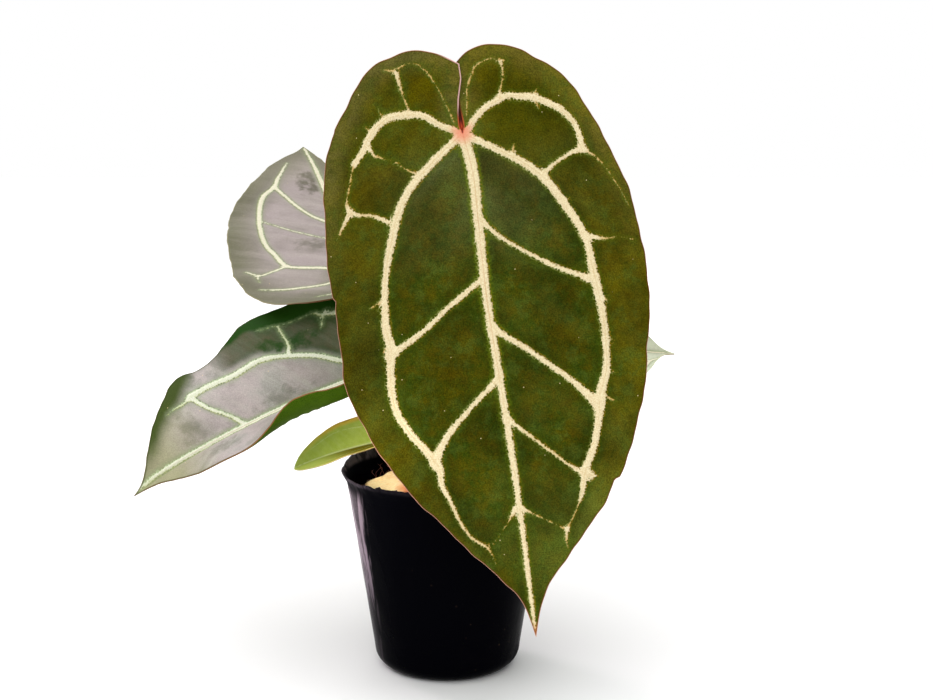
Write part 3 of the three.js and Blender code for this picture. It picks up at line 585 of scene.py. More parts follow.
rootstock, tree, shader, place = new_material(
    "corky rootstock", {"Roughness": 0.82, "Specular IOR Level": 0.25})
cork = noise_at(tree, place, 330.0, 6.0, 0.7)
scars = noise_at(tree, stretched(tree, place, (0.15, 0.15, 1.0)), 420.0, 2.0)
shade = mixed(tree, ramp(tree, cork, 0.35, 0.7), tone(66, 46, 26), tone(132, 104, 62))
shade = mixed(tree, ramp(tree, scars, 0.55, 0.68, 0.0, 0.8), shade, tone(40, 27, 16))
paint(tree, shader, shade, minus(tree, cork, ramp(tree, scars, 0.55, 0.68)), 0.8)
finish_piece("stem_crown", crown, [rootstock], ["stem"])

papery = bmesh.new()
chart = papery.loops.layers.uv.new("Flake")
for bearing, height, width, lean in SHEATHS:
    fresh = bmesh.ops.create_grid(papery, x_segments=14, y_segments=28, size=0.5)["verts"]
    for face in {face for vert in fresh for face in vert.link_faces}:
        for loop in face.loops:
            loop[chart].uv = (loop.vert.co.y * height / 10, loop.vert.co.x * width / 10 + bearing)
    for vert in fresh:
        rise = vert.co.y + 0.5
        taper = max(math.sqrt(1 - rise), 0.1)
        base = STEM_RADIUS - 0.6
        angle = math.radians(bearing) + vert.co.x * width * taper / base
        frill = 0.5 * math.sin(vert.co.x * 9 + bearing) * rise + 0.25 * math.sin(rise * 11 + bearing)
        radius = base + lean * rise * height + frill
        vert.co = Vector((STEM_X + radius * math.cos(angle), STEM_Y + radius * math.sin(angle),
                          STALK_BASE_LEVEL + 2 + rise * height)) * MM
    bmesh.ops.recalc_face_normals(papery, faces=papery.faces)
sheath_look, tree, shader, place, grain, cracks = fibrous(
    "papery sheath", {"Roughness": 0.6, "Specular IOR Level": 0.3}, 24.0, 2.0)
shade = mixed(tree, ramp(tree, grain, 0.3, 0.7), tone(112, 72, 40), tone(190, 146, 92))
paint(tree, shader, mixed(tree, times(tree, cracks, 0.6), shade, tone(78, 46, 26)), grain, 0.5)
sheaths = finish_piece("stem_sheaths", papery, [sheath_look])
wall = sheaths.modifiers.new("paper thickness", "SOLIDIFY")
wall.thickness = 0.5 * MM
wall.offset = 0.0


def curve_points(points, steps):
    """Centripetal Catmull-Rom curve through points, at steps + 1 even distances."""
    points = np.array(points, float)
    points = np.vstack([2 * points[0] - points[1], points, 2 * points[-1] - points[-2]])
    dense = []
    for a, b, c, d in zip(points, points[1:], points[2:], points[3:]):
        ab, bc, cd = (max(np.linalg.norm(q - p) ** 0.5, 1e-4) for p, q in ((a, b), (b, c), (c, d)))
        out = (b - a) / ab - (c - a) / (ab + bc) + (c - b) / bc
        into = (c - b) / bc - (d - b) / (bc + cd) + (d - c) / cd
        for t in np.linspace(0, 1, 24, endpoint=False):
            s = 1 - t
            held = s * s * (1 + 2 * t) * b + t * t * (3 - 2 * t) * c
            dense.append(held + bc * (s * s * t * out - s * t * t * into))
    dense.append(points[-2])
    dense = np.array(dense)
    travel = np.r_[0, np.cumsum(np.linalg.norm(np.diff(dense, axis=0), axis=1))]
    even = np.linspace(0, travel[-1], steps + 1)
    return np.stack([np.interp(even, travel, dense[:, k]) for k in range(3)], -1), even


aerial = bmesh.new()
for bearing, level, reach, radius in ROOTS:
    angle = math.radians(bearing)

    def root_spot(far, height):
        return (STEM_X + far * math.cos(angle), STEM_Y + far * math.sin(angle), height)

    ground = mix_height(*root_spot(reach, 0)[:2])
    route = [root_spot(5, level - 1), root_spot(9, level + 0.5), root_spot(reach - 2, level - 2),
             root_spot(reach, ground), root_spot(reach, ground - 5)]
    centres, travel = curve_points(route, 34)
    taper = 0.6 + 0.4 * np.minimum((travel[-1] - travel) / 8, 1)
    radii = radius * taper * (1 + 0.05 * np.sin(travel * 2.3))
    tube(aerial, centres, radii, 18)
bmesh.ops.recalc_face_normals(aerial, faces=aerial.faces)
root_look, tree, shader, place = new_material("aerial root", {"Roughness": 0.6, "Specular IOR Level": 0.35})
bumps = noise_at(tree, place, 300.0, 5.0, 0.6)
shade = mixed(tree, ramp(tree, bumps, 0.35, 0.7), tone(122, 92, 54), tone(178, 158, 108))
paint(tree, shader, shade, bumps, 0.4)
finish_piece("stem_roots", aerial, [root_look])

# The leaves are heart-shaped velvet blades, thin as card, each on a round stalk with a knuckle below the
# blade. One pattern gives every mature blade its outline and its net of cream veins: u runs across to the
# right as the upper face is seen, v from the stalk to the tip, on a flat blade 230 mm long.
PATTERN_LENGTH = 230.0
PATTERN_HALF_WIDTH = 70.0
BLADE_THICKNESS = 0.8
BEND_STEPS = 8
VEIN_RELIEF = {1: 0.5, -1: 0.8}
LAP_RISE = {1: -0.6, -1: 1.2}
SHOULDER_OUT = 30
SHOULDER_LEVEL = -6
NOTCH_HALF_WIDTH = 0.8
NOTCH_SHUT = 0.35
FRONT_STALK_RADIUS = 1.9
STALK_RING_RADIUS = 4.6
MATURE = {
    "mouth": -31,
    1: [(8, -37), (19, -38.5), (35, -33), (51, -19), (64, 8), (72, 34), (75, 60), (73.5, 88), (68, 117),
        (58, 145), (48, 165), (30, 186), (12, 204), (5, 215), (0, 230)],
    -1: [(-8, -38), (-21, -41), (-37, -36), (-51, -21), (-63, -3), (-67, 18), (-70, 42), (-70, 66), (-70, 88),
         (-69, 108), (-60, 135), (-47, 157), (-30, 180), (-13, 200), (-4, 213), (0, 230)],
}
YOUNG_MARGIN = [(16, -24), (34, -22), (52, -6), (64, 25), (68, 60), (67, 100), (60, 140), (47, 175),
                (27, 207), (10, 224), (0, 230)]
YOUNG = {"mouth": -16, 1: YOUNG_MARGIN, -1: [(-u, v) for u, v in YOUNG_MARGIN]}

# Each vein is its route over the pattern and its half widths from start to end; below zero it breaks up.
FRONT_VEINS = {
    "midrib": ([(0, 1), (2, 20), (1, 45), (0, 80), (1, 130), (1, 180), (0, 226)],
               [2.3, 2.3, 1.9, 1.7, 1.4, 1.1, 0.5]),
    "left loop": ([(-2, 2), (-16, 12), (-28, 22.5), (-34, 32), (-38.5, 43), (-43, 56), (-45.5, 68), (-47, 83),
                   (-46, 92), (-48, 104), (-48, 118), (-44, 129), (-36, 141), (-32, 148), (-32, 156),
                   (-29, 164), (-26, 174), (-22, 181), (-16, 186)],
                  [1.5, 1.6, 1.6, 1.7, 1.8, 1.3, 1.3, 1.8, 2.0, 1.7, 1.5, 1.5, 1.5, 1.6, 1.1, 0.6, 0.5, 0.4,
                   0.5]),
    "left loop tail": ([(-16, 186), (-14, 190), (-13, 194)], [0.4, 0.0, -0.3]),
    "right loop": ([(2, 2), (16, 11), (26, 18), (34, 26), (40, 36), (46, 48), (49, 58), (49.5, 68),
                    (50.5, 80), (51, 92), (50.5, 104), (49, 115), (44.5, 126), (42, 137), (38, 149),
                    (33, 158), (30, 168), (26, 176), (21, 183)],
                   [1.4, 1.4, 1.6, 1.8, 1.7, 1.7, 1.5, 1.8, 1.9, 1.5, 1.5, 1.5, 2.1, 1.6, 1.4, 1.6, 0.9, 0.0,
                    0.1]),
    "right loop fork": ([(21, 183), (20, 187), (20, 191)], [0.8, 0.4, -0.2]),
    "left lobe": ([(-3, -1), (-10, -5), (-16, -10), (-24, -12), (-32, -12), (-38, -9), (-43, -4), (-47, 2),
                   (-51, 6)],
                  [1.3, 1.3, 1.4, 1.5, 1.5, 1.6, 1.5, 1.4, 1.0]),
    "left lobe end": ([(-51, 6), (-52, 8), (-54, 14), (-56, 20), (-57, 24), (-56, 28)],
                      [0.8, 0.15, 0.05, 0.15, 0.4, 0.9]),
    "left tail": ([(-56, 28), (-59, 32), (-63, 38)], [1.2, 0.7, 0.1]),
    "left branch": ([(-56, 28), (-51, 30), (-46, 31), (-39, 35)], [1.0, 0.5, 0.5, 0.9]),
    "left spur": ([(-22, 16), (-27, 13), (-32, 9)], [0.9, 0.05, -0.35]),
    "left lobe spur": ([(-43, 0), (-41, 4), (-37, 6), (-31, 9)], [0.9, 0.4, -0.05, -0.35]),
    "left ear rung": ([(-23, -12), (-23, -16), (-24, -20), (-25, -26), (-26, -32)],
                      [1.0, 0.2, 0.15, 0.5, 0.7]),
    "left ear": ([(-31, -34), (-26, -33), (-21, -35), (-16, -34), (-13, -31), (-11, -28), (-8, -21),
                  (-5, -12), (-3, -5)],
                 [0.0, 0.4, -0.2, -0.15, 0.1, 0.1, -0.15, -0.1, 0.1]),
    "right lobe": ([(3, -1), (6, -5), (12, -10), (17, -12), (23, -14), (28, -13), (34, -12), (40, -9),
                    (46, -5), (50, 0), (52, 4), (53, 10), (53, 14)],
                   [1.3, 1.3, 1.3, 1.3, 1.3, 1.4, 1.6, 1.4, 1.4, 1.2, 1.1, 1.3, 1.5]),
    "right branch": ([(52, 14), (46, 16), (40, 19), (34, 23)], [1.1, 0.7, 0.6, 1.0]),
    "right lobe end": ([(53, 14), (56, 16), (60, 20), (63, 24), (66, 30), (68, 34), (71, 42)],
                       [1.1, 0.4, 0.2, -0.15, 0.0, -0.1, -0.4]),
    "right ear rung": ([(19, -14), (20, -18), (22, -24), (22, -30)], [1.1, 0.1, 0.2, 0.6]),
    "right ear": ([(3, -8), (4, -14), (5, -20), (8, -26), (10, -29), (14, -31), (18, -32), (24, -30)],
                  [0.0, 0.05, 0.1, 0.15, 0.2, -0.1, 0.1, -0.2]),
    "left rung 1": ([(-1, 67), (-17, 77), (-30, 86), (-41, 92), (-47, 95)], [1.1, 0.9, 1.0, 1.2, 2.1]),
    "left rung 2": ([(0, 112), (-5, 116), (-16, 125), (-26, 134), (-34, 146)], [1.6, 1.0, 0.9, 1.2, 2.0]),
    "left rung 3": ([(-1, 171), (-4, 175), (-8, 180), (-15, 187)], [1.1, 0.3, -0.35, -0.2]),
    "right rung 1": ([(2, 40), (6, 45), (13, 52), (30, 64), (41, 70), (47, 73)],
                     [1.4, 0.9, 0.7, 0.8, 1.0, 1.9]),
    "right rung 2": ([(1, 89), (5, 93), (16, 102), (32, 117), (39, 125), (43, 130)],
                     [1.8, 1.2, 1.0, 1.1, 1.5, 2.6]),
    "right rung 3": ([(1, 129), (4, 133), (12, 141), (25, 154), (31, 159), (35, 161)],
                     [1.4, 0.8, 0.5, 0.5, 0.9, 1.6]),
    "right rung 4": ([(2, 171), (11, 177), (21, 184)], [0.8, -0.15, 0.1]),
    "right spur": ([(49, 54), (53, 55), (58, 56), (64, 56), (70, 58)], [1.3, 0.8, 0.15, -0.35, 0.0]),
    "lobe barb 1": ([(-35, -12), (-36, -16)], [0.3, -0.3]),
    "lobe barb 2": ([(-41, -8), (-44, -10)], [0.4, -0.3]),
    "lobe barb 3": ([(34, -12), (36, -15)], [0.5, -0.2]),
    "lobe barb 4": ([(35, -10), (36, -6)], [0.4, -0.3]),
    "barb 1": ([(21, 12), (22, 9)], [0.5, -0.1]),
    "barb 2": ([(40, 37), (43, 36)], [0.4, -0.3]),
    "barb 3": ([(50, 82), (55, 84)], [0.8, -0.2]),
    "barb 4": ([(51, 100), (54, 102)], [0.4, -0.2]),
    "barb 5": ([(49, 115), (53, 117)], [0.5, -0.2]),
    "barb 6": ([(45, 126), (50, 129)], [0.8, -0.1]),
    "barb 7": ([(-46, 70), (-52, 72)], [0.7, -0.1]),
    "barb 8": ([(-47, 91), (-50, 93)], [0.4, -0.2]),
    "barb 9": ([(-47, 106), (-50, 108)], [0.5, -0.1]),
}
BACK_HALF = {
    "loop": ([(2, 2), (16, 16), (28, 21), (41, 29), (47, 52), (52, 71), (52, 100), (48, 129), (42, 150),
              (32, 165), (26, 182), (16, 205)],
             [1.3, 1.3, 1.2, 1.2, 1.1, 1.1, 1.1, 1.2, 1.3, 1.2, 0.8, 0.3]),
    "rung 2": ([(32, 165), (24, 134), (16, 112), (8, 100), (1, 92)], [1.0, 0.8, 0.8, 1.0, 1.2]),
    "rung 1": ([(49, 107), (33, 88), (12, 70), (1, 62)], [0.35, 0.3, 0.3, 0.5]),
    "basal": ([(41, 29), (50, 23), (60, 19), (68, 31)], [1.0, 0.7, 0.7, 0.2]),
    "fork": ([(60, 19), (61, 14), (60, 9)], [0.6, 0.4, 0.0]),
    "lobe": ([(4, -2), (18, -12), (40, -10), (52, -6), (60, -2)], [1.2, 0.9, 0.8, 0.6, 0.1]),
    "ear": ([(5, -4), (8, -18), (14, -30), (26, -31)], [0.7, 0.4, 0.3, -0.2]),
}
LEFT_HALF = {
    "loop": ([(-2, 2), (-9, 18), (-19, 39), (-32, 56), (-41, 76), (-44, 95), (-40, 117), (-40, 138),
              (-37, 153)],
             [1.4, 1.4, 1.3, 1.3, 1.3, 1.4, 1.5, 1.4, 1.5]),
    "loop end": ([(-37, 153), (-33, 162), (-32, 168), (-30, 175)], [1.3, 0.3, -0.1, -0.5]),
    "rung 2": ([(-2, 127), (-12, 134), (-24, 146), (-36, 154)], [1.1, 0.8, 0.9, 1.3]),
    "cross": ([(-43, 74), (-51, 72), (-61, 73), (-71, 74)], [1.2, 0.4, 0.3, 0.4]),
    "lobe": ([(-3, 0), (-20, -4), (-38, 6), (-52, 20), (-58, 30)], [1.4, 1.3, 1.1, 0.9, 0.7]),
    "ear": ([(-5, -4), (-8, -18), (-14, -30), (-26, -31)], [0.7, 0.4, 0.3, -0.2]),
    "outer": ([(-58, 30), (-62, 40), (-68, 47), (-71, 62), (-72, 75), (-70, 88)],
              [0.8, 0.6, -0.2, -0.6, -0.4, -0.6]),
    "knot": ([(-62, 38), (-58, 41), (-54, 43)], [0.8, 0.3, 0.0]),
}
LEFT_MARGIN = [(-8, -38), (-21, -41), (-37, -36), (-52, -21), (-63, -3), (-69, 14), (-77, 32), (-87, 51),
               (-90, 69), (-80, 94), (-69, 110), (-59, 130), (-56, 143), (-54, 155), (-41, 172), (-23, 193),
               (-10, 208), (-3, 219), (0, 230)]
LEFT_PATTERN = {"mouth": -31, 1: MATURE[1], -1: LEFT_MARGIN}
LEFT_BAND = [(-54, 18), (-59, 30), (-64, 40), (-69, 50), (-71, 62), (-72, 76), (-70, 88), (-71, 98),
             (-65, 110), (-64, 124), (-64, 138), (-54, 146), (-42, 156), (-32, 165), (-28, 174), (-22, 183),
             (-15, 192), (-9, 203), (-6, 213)]
SPINE = ([(0, 1), (0, 40), (0, 110), (0, 170), (0, 226)], [2.4, 2.0, 1.6, 1.1, 0.5])


def mirrored(veins):
    return {name + " mirrored": ([(-u, v) for u, v in route], widths)
            for name, (route, widths) in veins.items()}


def smooth_line(route, steps=10):
    """Catmull-Rom line through a route's points, with the route's own share at each point."""
    route = np.array(route, float)
    last = len(route) - 1
    line = []
    for i in range(last):
        a, b, c, d = (route[min(max(k, 0), last)] for k in (i - 1, i, i + 1, i + 2))
        for t in np.linspace(0, 1, steps, endpoint=False):
            line.append(0.5 * (2 * b + (c - a) * t + (2 * a - 5 * b + 4 * c - d) * t ** 2
                               + (3 * b - a - 3 * c + d) * t ** 3))
    return np.array(line + [route[-1]])


def distance_to(line, u, v):
    """Distance from a line, the share of its points at the nearest, its turning side, and how far right."""
    best = np.full(len(u), 1e9)
    share, turn, lee = np.zeros(len(u)), np.ones(len(u)), np.zeros(len(u))
    for i, (a, b) in enumerate(zip(line, line[1:])):
        step = b - a
        along = np.clip(((u - a[0]) * step[0] + (v - a[1]) * step[1]) / max(step.dot(step), 1e-9), 0, 1)
        right, beyond = u - a[0] - along * step[0], v - a[1] - along * step[1]
        apart = np.hypot(right, beyond)
        nearer = apart < best
        best = np.where(nearer, apart, best)
        share = np.where(nearer, (i + along) / (len(line) - 1), share)
        turn = np.where(nearer, np.sign(step[0] * beyond - step[1] * right), turn)
        lee = np.where(nearer, right / np.maximum(apart, 1e-6), lee)
    return best, share, turn, lee


def stations(values, share):
    """Value at a share of a quadratic through three values, at the stalk, halfway and at the tip."""
    t = np.clip(share, 0, 1)
    first, middle, last = values
    return first * (1 - t) * (1 - 2 * t) + 4 * middle * t * (1 - t) + last * t * (2 * t - 1)


def unit(vectors):
    return vectors / np.linalg.norm(vectors, axis=-1, keepdims=True)


def bezier(points, t):
    a, b, c, d = (np.array(p, float) for p in points)
    t = np.asarray(t, float)[..., None]
    s = 1 - t
    place = s ** 3 * a + 3 * s * s * t * b + 3 * s * t * t * c + t ** 3 * d
    ahead = s * s * (b - a) + 2 * s * t * (c - b) + t * t * (d - c)
    return place, unit(ahead)


def rib_scale(leaf):
    ts = np.linspace(0, 1, 201)
    travel = np.r_[0, np.cumsum(np.linalg.norm(np.diff(bezier(leaf["midrib"], ts)[0], axis=0), axis=1))]
    return ts, travel, travel[-1] / PATTERN_LENGTH


def rib_frame(leaf, v):
    """Origin and the directions along, across and up of the blade at each v."""
    ts, travel, scale = rib_scale(leaf)
    far = np.clip(v / PATTERN_LENGTH, 0, 1) * travel[-1]
    origin, along = bezier(leaf["midrib"], np.interp(far, travel, ts))
    across = unit(np.cross(leaf["facing"], along))
    up = np.cross(along, across)
    return origin + along * (np.minimum(v, 0) * scale)[:, None], along, across, up


def blade_place(leaf, out, v, side):
    """The half's cross-section bends steadily from its fold at the midrib to its margin."""
    origin, _, across, up = rib_frame(leaf, v)
    half = leaf[side]
    share = v / PATTERN_LENGTH
    stretch = rib_scale(leaf)[2] * stations(half["width"], share)
    fold = np.radians(stations(half["fold"], share))
    curl = np.radians(stations(half["curl"], share))
    run = np.zeros(len(v))
    rise = np.zeros(len(v))
    for i in range(BEND_STEPS):
        part = (i + 0.5) / BEND_STEPS * np.abs(out) / PATTERN_HALF_WIDTH
        angle = fold + curl * part ** half["bend"]
        run += np.cos(angle) * out * stretch / BEND_STEPS
        rise += np.sin(angle) * np.abs(out) * stretch / BEND_STEPS
    ripple = leaf["wave height"] * (out / PATTERN_HALF_WIDTH) ** 2
    rise += ripple * np.sin(leaf["waves"] * math.pi * share + side * 0.7)
    lapped = leaf.get("lap", 0) * smooth_share(-v, 9, 19) * np.exp(-(out / 12) ** 2)
    rise += lapped * LAP_RISE[side]
    return origin + across * (side * run)[:, None] + up * rise[:, None]


def half_normal(leaf, out, v, side):
    outward = blade_place(leaf, out + 1, v, side) - blade_place(leaf, out, v, side)
    onward = blade_place(leaf, out, v + 1, side) - blade_place(leaf, out, v - 1, side)
    return unit(np.cross(outward, onward) * -side)


def blade_normal(leaf, out, v, side):
    """Near the midrib the two halves share one normal, long enough to keep the blade's thickness."""
    own = half_normal(leaf, out, v, side)
    rib = half_normal(leaf, np.zeros(len(v)), v, side)
    shared = unit(rib + half_normal(leaf, np.zeros(len(v)), v, -side))
    stretch = 1 / np.maximum((shared * rib).sum(-1), 0.6)
    near = (1 - smooth_share(np.abs(out), 0, 5)) * smooth_share(v, -3, 0)
    return shared * (stretch * near)[:, None] + own * (1 - near)[:, None]


def notch_line(leaf, side):
    """Inner edge of a lobe, beside the notch that the stalk's top lies in."""
    scale = rib_scale(leaf)[2]
    stretch = scale * stations(leaf[side]["width"], 0)
    wide = NOTCH_HALF_WIDTH / stretch
    size = leaf["stalk radius"] / FRONT_STALK_RADIUS / scale
    shut = NOTCH_SHUT / stretch
    edge = -0.8 / scale
    mouth = leaf["outline"]["mouth"]
    if leaf["outline"] is YOUNG:
        return [(wide, mouth), (wide, (mouth + edge) / 2), (wide, edge), (0, 0)]
    narrow = wide * 0.3
    if side < 0:
        shut -= leaf.get("lap", 0) * 3.4
        narrow -= leaf.get("lap", 0) * 0.8
    return [(shut, mouth), (shut, (mouth - 17 * size) / 2), (narrow, -15 * size), (wide * 0.55, -9 * size),
            (wide * 0.8, -4.5 * size), (wide * 0.8, -2.4 * size), (0.08, edge), (0, 0)]


def half_grid(leaf, side, columns, rows):
    """Pattern places of a half blade's grid, from the notch or midrib out to the margin."""
    inner = np.array(notch_line(leaf, side), float)
    margin = smooth_line([(side * inner[0][0], inner[0][1]), *leaf["outline"][side]], 24)
    travel = np.r_[0, np.cumsum(np.linalg.norm(np.diff(margin, axis=0), axis=1))]
    travel /= travel[-1]
    ahead = unit(np.gradient(margin, axis=0))
    waver = sum(size * np.sin(turns * travel + side * turns)
                for size, turns in ((0.3, 43), (0.22, 71), (0.14, 127), (0.1, 211)))
    waver *= leaf["frill"] * smooth_share(travel, 0.03, 0.1) * smooth_share(1 - travel, 0.02, 0.1)
    for start, depth, fade in leaf.get("nicks", {}).get(side, []):
        past = margin[:, 1] - start
        waver -= depth * smooth_share(past, 0, 2.2) * np.exp(-np.maximum(past, 0) / fade)
    margin += np.stack([ahead[:, 1], -ahead[:, 0]], -1) * (side * waver)[:, None]
    past_lobe = (np.abs(margin[:, 0]) > SHOULDER_OUT) & (margin[:, 1] > SHOULDER_LEVEL)
    shoulder = travel[np.argmax(past_lobe)]
    share = np.linspace(0, 1, rows + 1)
    outer = np.stack([np.interp(share, travel, margin[:, k]) for k in (0, 1)], -1) * (side, 1)
    steps = len(inner) - 1
    lobe = np.minimum(share / shoulder, 1) * steps
    start = np.stack([np.interp(lobe, np.arange(steps + 1), inner[:, k]) for k in (0, 1)], -1)
    beyond = share > shoulder
    past_shoulder = (share[beyond] - shoulder) / (1 - shoulder)
    start[beyond] = np.stack([0 * past_shoulder, PATTERN_LENGTH * past_shoulder], -1)
    length = np.linalg.norm(outer - start, axis=1)
    fine = np.minimum(0.6 / np.maximum(length, 0.01), 0.2)
    spread = np.linspace(0, 1, columns - 3)
    line_shares = fine[:, None] + (1 - 2 * fine)[:, None] * spread[None]
    ends = np.ones(len(share))[:, None]
    line_shares = np.hstack([0 * ends, 0.3 * fine[:, None], line_shares, 1 - 0.3 * fine[:, None], ends])
    return start[:, None] + (outer - start)[:, None] * line_shares[..., None], margin, inner


VEIN_WEB = 1.7
BLADE_MAPS = ("vein_edge", "vein_half", "fine_offset", "fine_far", "fine_half", "vein_core", "lee", "margin",
              "reach", "outer", "band", "across", "onward", "side")


def vein_maps(leaf, u, v):
    """Distance from the nearest vein's edge, webbed where veins meet, and from the finest veins' middle."""
    scale = rib_scale(leaf)[2]
    edge, core, fine_edge = (np.full(len(u), 99.0) for _ in range(3))
    half, lee, fine_half, fine_offset, fine_far = (np.zeros(len(u)) for _ in range(5))
    for name, (route, widths) in leaf["veins"].items():
        apart, along, turn, right = distance_to(smooth_line(route, 6), u, v)
        own_half = np.interp(along * (len(widths) - 1), np.arange(len(widths)), widths) / math.sqrt(scale)
        own = apart - own_half
        half = np.where(own < edge, own_half, half)
        lee = np.where(own < edge, right, lee)
        web = np.clip(0.5 + (edge - own) / 2 / VEIN_WEB, 0, 1)
        edge = edge * (1 - web) + own * web - VEIN_WEB * web * (1 - web)
        if name == "midrib":
            core = apart
        if min(widths) < 0.7:
            nearer = own < fine_edge
            fine_edge = np.where(nearer, own, fine_edge)
            fine_half = np.where(nearer, own_half, fine_half)
            fine_offset = np.where(nearer, apart * turn, fine_offset)
            fine_far = np.where(nearer, apart, fine_far)
    maps = {"vein_edge": edge, "vein_half": half, "fine_offset": fine_offset, "fine_far": fine_far,
            "fine_half": fine_half, "vein_core": core}
    return {**{key: value * scale for key, value in maps.items()}, "lee": lee}


def half_surface(leaf, side, face, columns, rows):
    """Places of one face of half a blade, and the maps that its skin is coloured by, in millimetres."""
    grid, margin, inner = half_grid(leaf, side, columns, rows)
    out, v = grid[..., 0].ravel(), grid[..., 1].ravel()
    u = side * out
    scale = rib_scale(leaf)[2]
    maps = vein_maps(leaf, u, v)
    rim = distance_to(margin, u, v)[0]
    notch = distance_to(np.array([(side * a, b) for a, b in inner]), u, v)[0]
    bound, band = (np.interp(v, *zip(*sorted((b, abs(a)) for a, b in leaf[lines].get(side, [(99, 0)]))))
                   for lines in ("loop line", "band line"))
    maps |= {"margin": np.minimum(rim, notch) * scale, "reach": np.hypot(u, v) * scale, "across": u,
             "onward": v, "side": side + 0 * u, "outer": (np.abs(u) - bound) * scale,
             "band": (np.abs(u) - band) * scale}
    edge, rim_all = maps["vein_edge"], maps["margin"]
    thick = BLADE_THICKNESS / 2 * np.sqrt(np.clip(1 - (1 - np.minimum(rim_all / 0.5, 1)) ** 2, 0, 1))
    vein_share = smooth_share(rim_all, 0.3, 3.0) * (1 - smooth_share(edge, -1.3, 0.7))
    quilt = leaf["quilt"] * (1 - np.exp(-np.maximum(edge, 0) / 7)) * smooth_share(rim_all, 0.5, 14)
    rise = face * (thick + vein_share * VEIN_RELIEF[face]) + quilt
    return blade_place(leaf, out, v, side) + blade_normal(leaf, out, v, side) * rise[:, None], maps


def blade(name, leaf, columns, rows, upper, under):
    """A closed blade: two halves of upper and under face, welded along midrib, notch and margin."""
    mesh = bmesh.new()
    layers = {key: mesh.verts.layers.float.new(key) for key in BLADE_MAPS}
    for side in (1, -1):
        for face, strips in ((1, columns), (-1, columns // 3)):
            places, maps = half_surface(leaf, side, face, strips, rows)
            before = len(mesh.faces)
            fresh = bmesh.ops.create_grid(mesh, x_segments=strips, y_segments=rows, size=0.5)["verts"]
            mesh.faces.ensure_lookup_table()
            for made in mesh.faces[before:]:
                made.material_index = 0 if face > 0 else 1
            for vert in fresh:
                i = round((vert.co.y + 0.5) * rows) * (strips + 1) + round((vert.co.x + 0.5) * strips)
                vert.co = Vector(places[i]) * MM
                for key, layer in layers.items():
                    vert[layer] = maps[key][i]
    bmesh.ops.remove_doubles(mesh, verts=mesh.verts, dist=2e-6)
    bmesh.ops.dissolve_degenerate(mesh, dist=1e-7, edges=mesh.edges)
    bmesh.ops.recalc_face_normals(mesh, faces=mesh.faces)
    return finish_piece(name, mesh, [upper, under], ["blade_" + leaf["node"]])


tissue, given, made = new_group(
    "Leaf tissue", ["Place", "Vein Edge", "Tooth", "Across", "Onward", "Streak Scale"],
    ["Vein", "Selvage", "Fringe", "Glow", "Patches", "Net", "Grain", "Streaks", "Fold Noise"])


def cell_lines(scale):
    """Distance from the borders of a random net of cells."""
    sockets = {"Vector": given["Place"], "Scale": scale, "Randomness": 1.0}
    return add_node(tissue, "ShaderNodeTexVoronoi", sockets, feature="DISTANCE_TO_EDGE").outputs[0]


teeth = noise_at(tissue, given["Place"], 760.0, 3.0, 0.72)
coarse = noise_at(tissue, given["Place"], 260.0, 2.0, 0.5)
shift = minus(tissue, plus(tissue, teeth, times(tissue, coarse, 0.7)), 0.85)
spikes = ramp(tissue, cell_lines(620.0), 0.0, 0.22, -0.38, 0.08)
shift = times(tissue, plus(tissue, shift, spikes), given["Tooth"])
frayed = plus(tissue, given["Vein Edge"], shift)
fringe_reach = plus(tissue, frayed, times(tissue, shift, 0.8))
slant = minus(tissue, given["Onward"], times(tissue, maths(tissue, "ABSOLUTE", given["Across"]), 0.7))
drawn = add_node(tissue, "ShaderNodeCombineXYZ", {
    0: times(tissue, slant, given["Streak Scale"]),
    1: times(tissue, given["Across"], given["Streak Scale"], 0.16)}).outputs[0]
folds = add_node(tissue, "ShaderNodeMapping", {
    "Vector": drawn, "Location": (7.0, 3.0, 0.0), "Scale": (0.55, 2.2, 1.0)}).outputs[0]
for title, mask in (
        ("Vein", ramp(tissue, frayed, -0.1, 0.1, 1.0, 0.0)), ("Selvage", ramp(tissue, frayed, -0.6, 0.05)),
        ("Fringe", ramp(tissue, fringe_reach, 0.05, 0.45, 1.0, 0.0)),
        ("Glow", ramp(tissue, fringe_reach, 0.1, 2.4, 1.0, 0.0)),
        ("Patches", ramp(tissue, noise_at(tissue, given["Place"], 95.0, 8.0, 0.82), 0.36, 0.64)),
        ("Net", ramp(tissue, cell_lines(1250.0), 0.0, 0.3, 1.0, 0.0)),
        ("Grain", noise_at(tissue, given["Place"], 1700.0, 4.0, 0.8)),
        ("Streaks", ramp(tissue, noise_at(tissue, drawn, 1.0, 4.0, 0.6), 0.42, 0.66)),
        ("Fold Noise", noise_at(tissue, folds, 1.0, 3.0, 0.5))):
    tissue.links.new(mask, made[title])


def attribute(tree, name):
    return add_node(tree, "ShaderNodeAttribute", attribute_name=name).outputs["Fac"]


def vein_distance(tree, place):
    """Millimetres beyond the nearest vein's edge, how strongly it is frayed, and the vein's half width."""
    wide, half, offset, far, fine_half = (attribute(tree, key) for key in BLADE_MAPS[:5])
    middle = maths(tree, "MAXIMUM", maths(tree, "ABSOLUTE", offset), minus(tree, far, 0.8))
    edge = maths(tree, "MINIMUM", wide, minus(tree, middle, fine_half))
    breaks = ramp(tree, noise_at(tree, place, 520.0, 4.0, 0.75), 0.44, 0.66, -0.1, 0.5)
    edge = plus(tree, edge, times(tree, breaks, ramp(tree, half, 0.2, 0.8, 1.0, 0.0)))
    return edge, ramp(tree, half, -0.2, 1.4, 0.6, 1.0), half


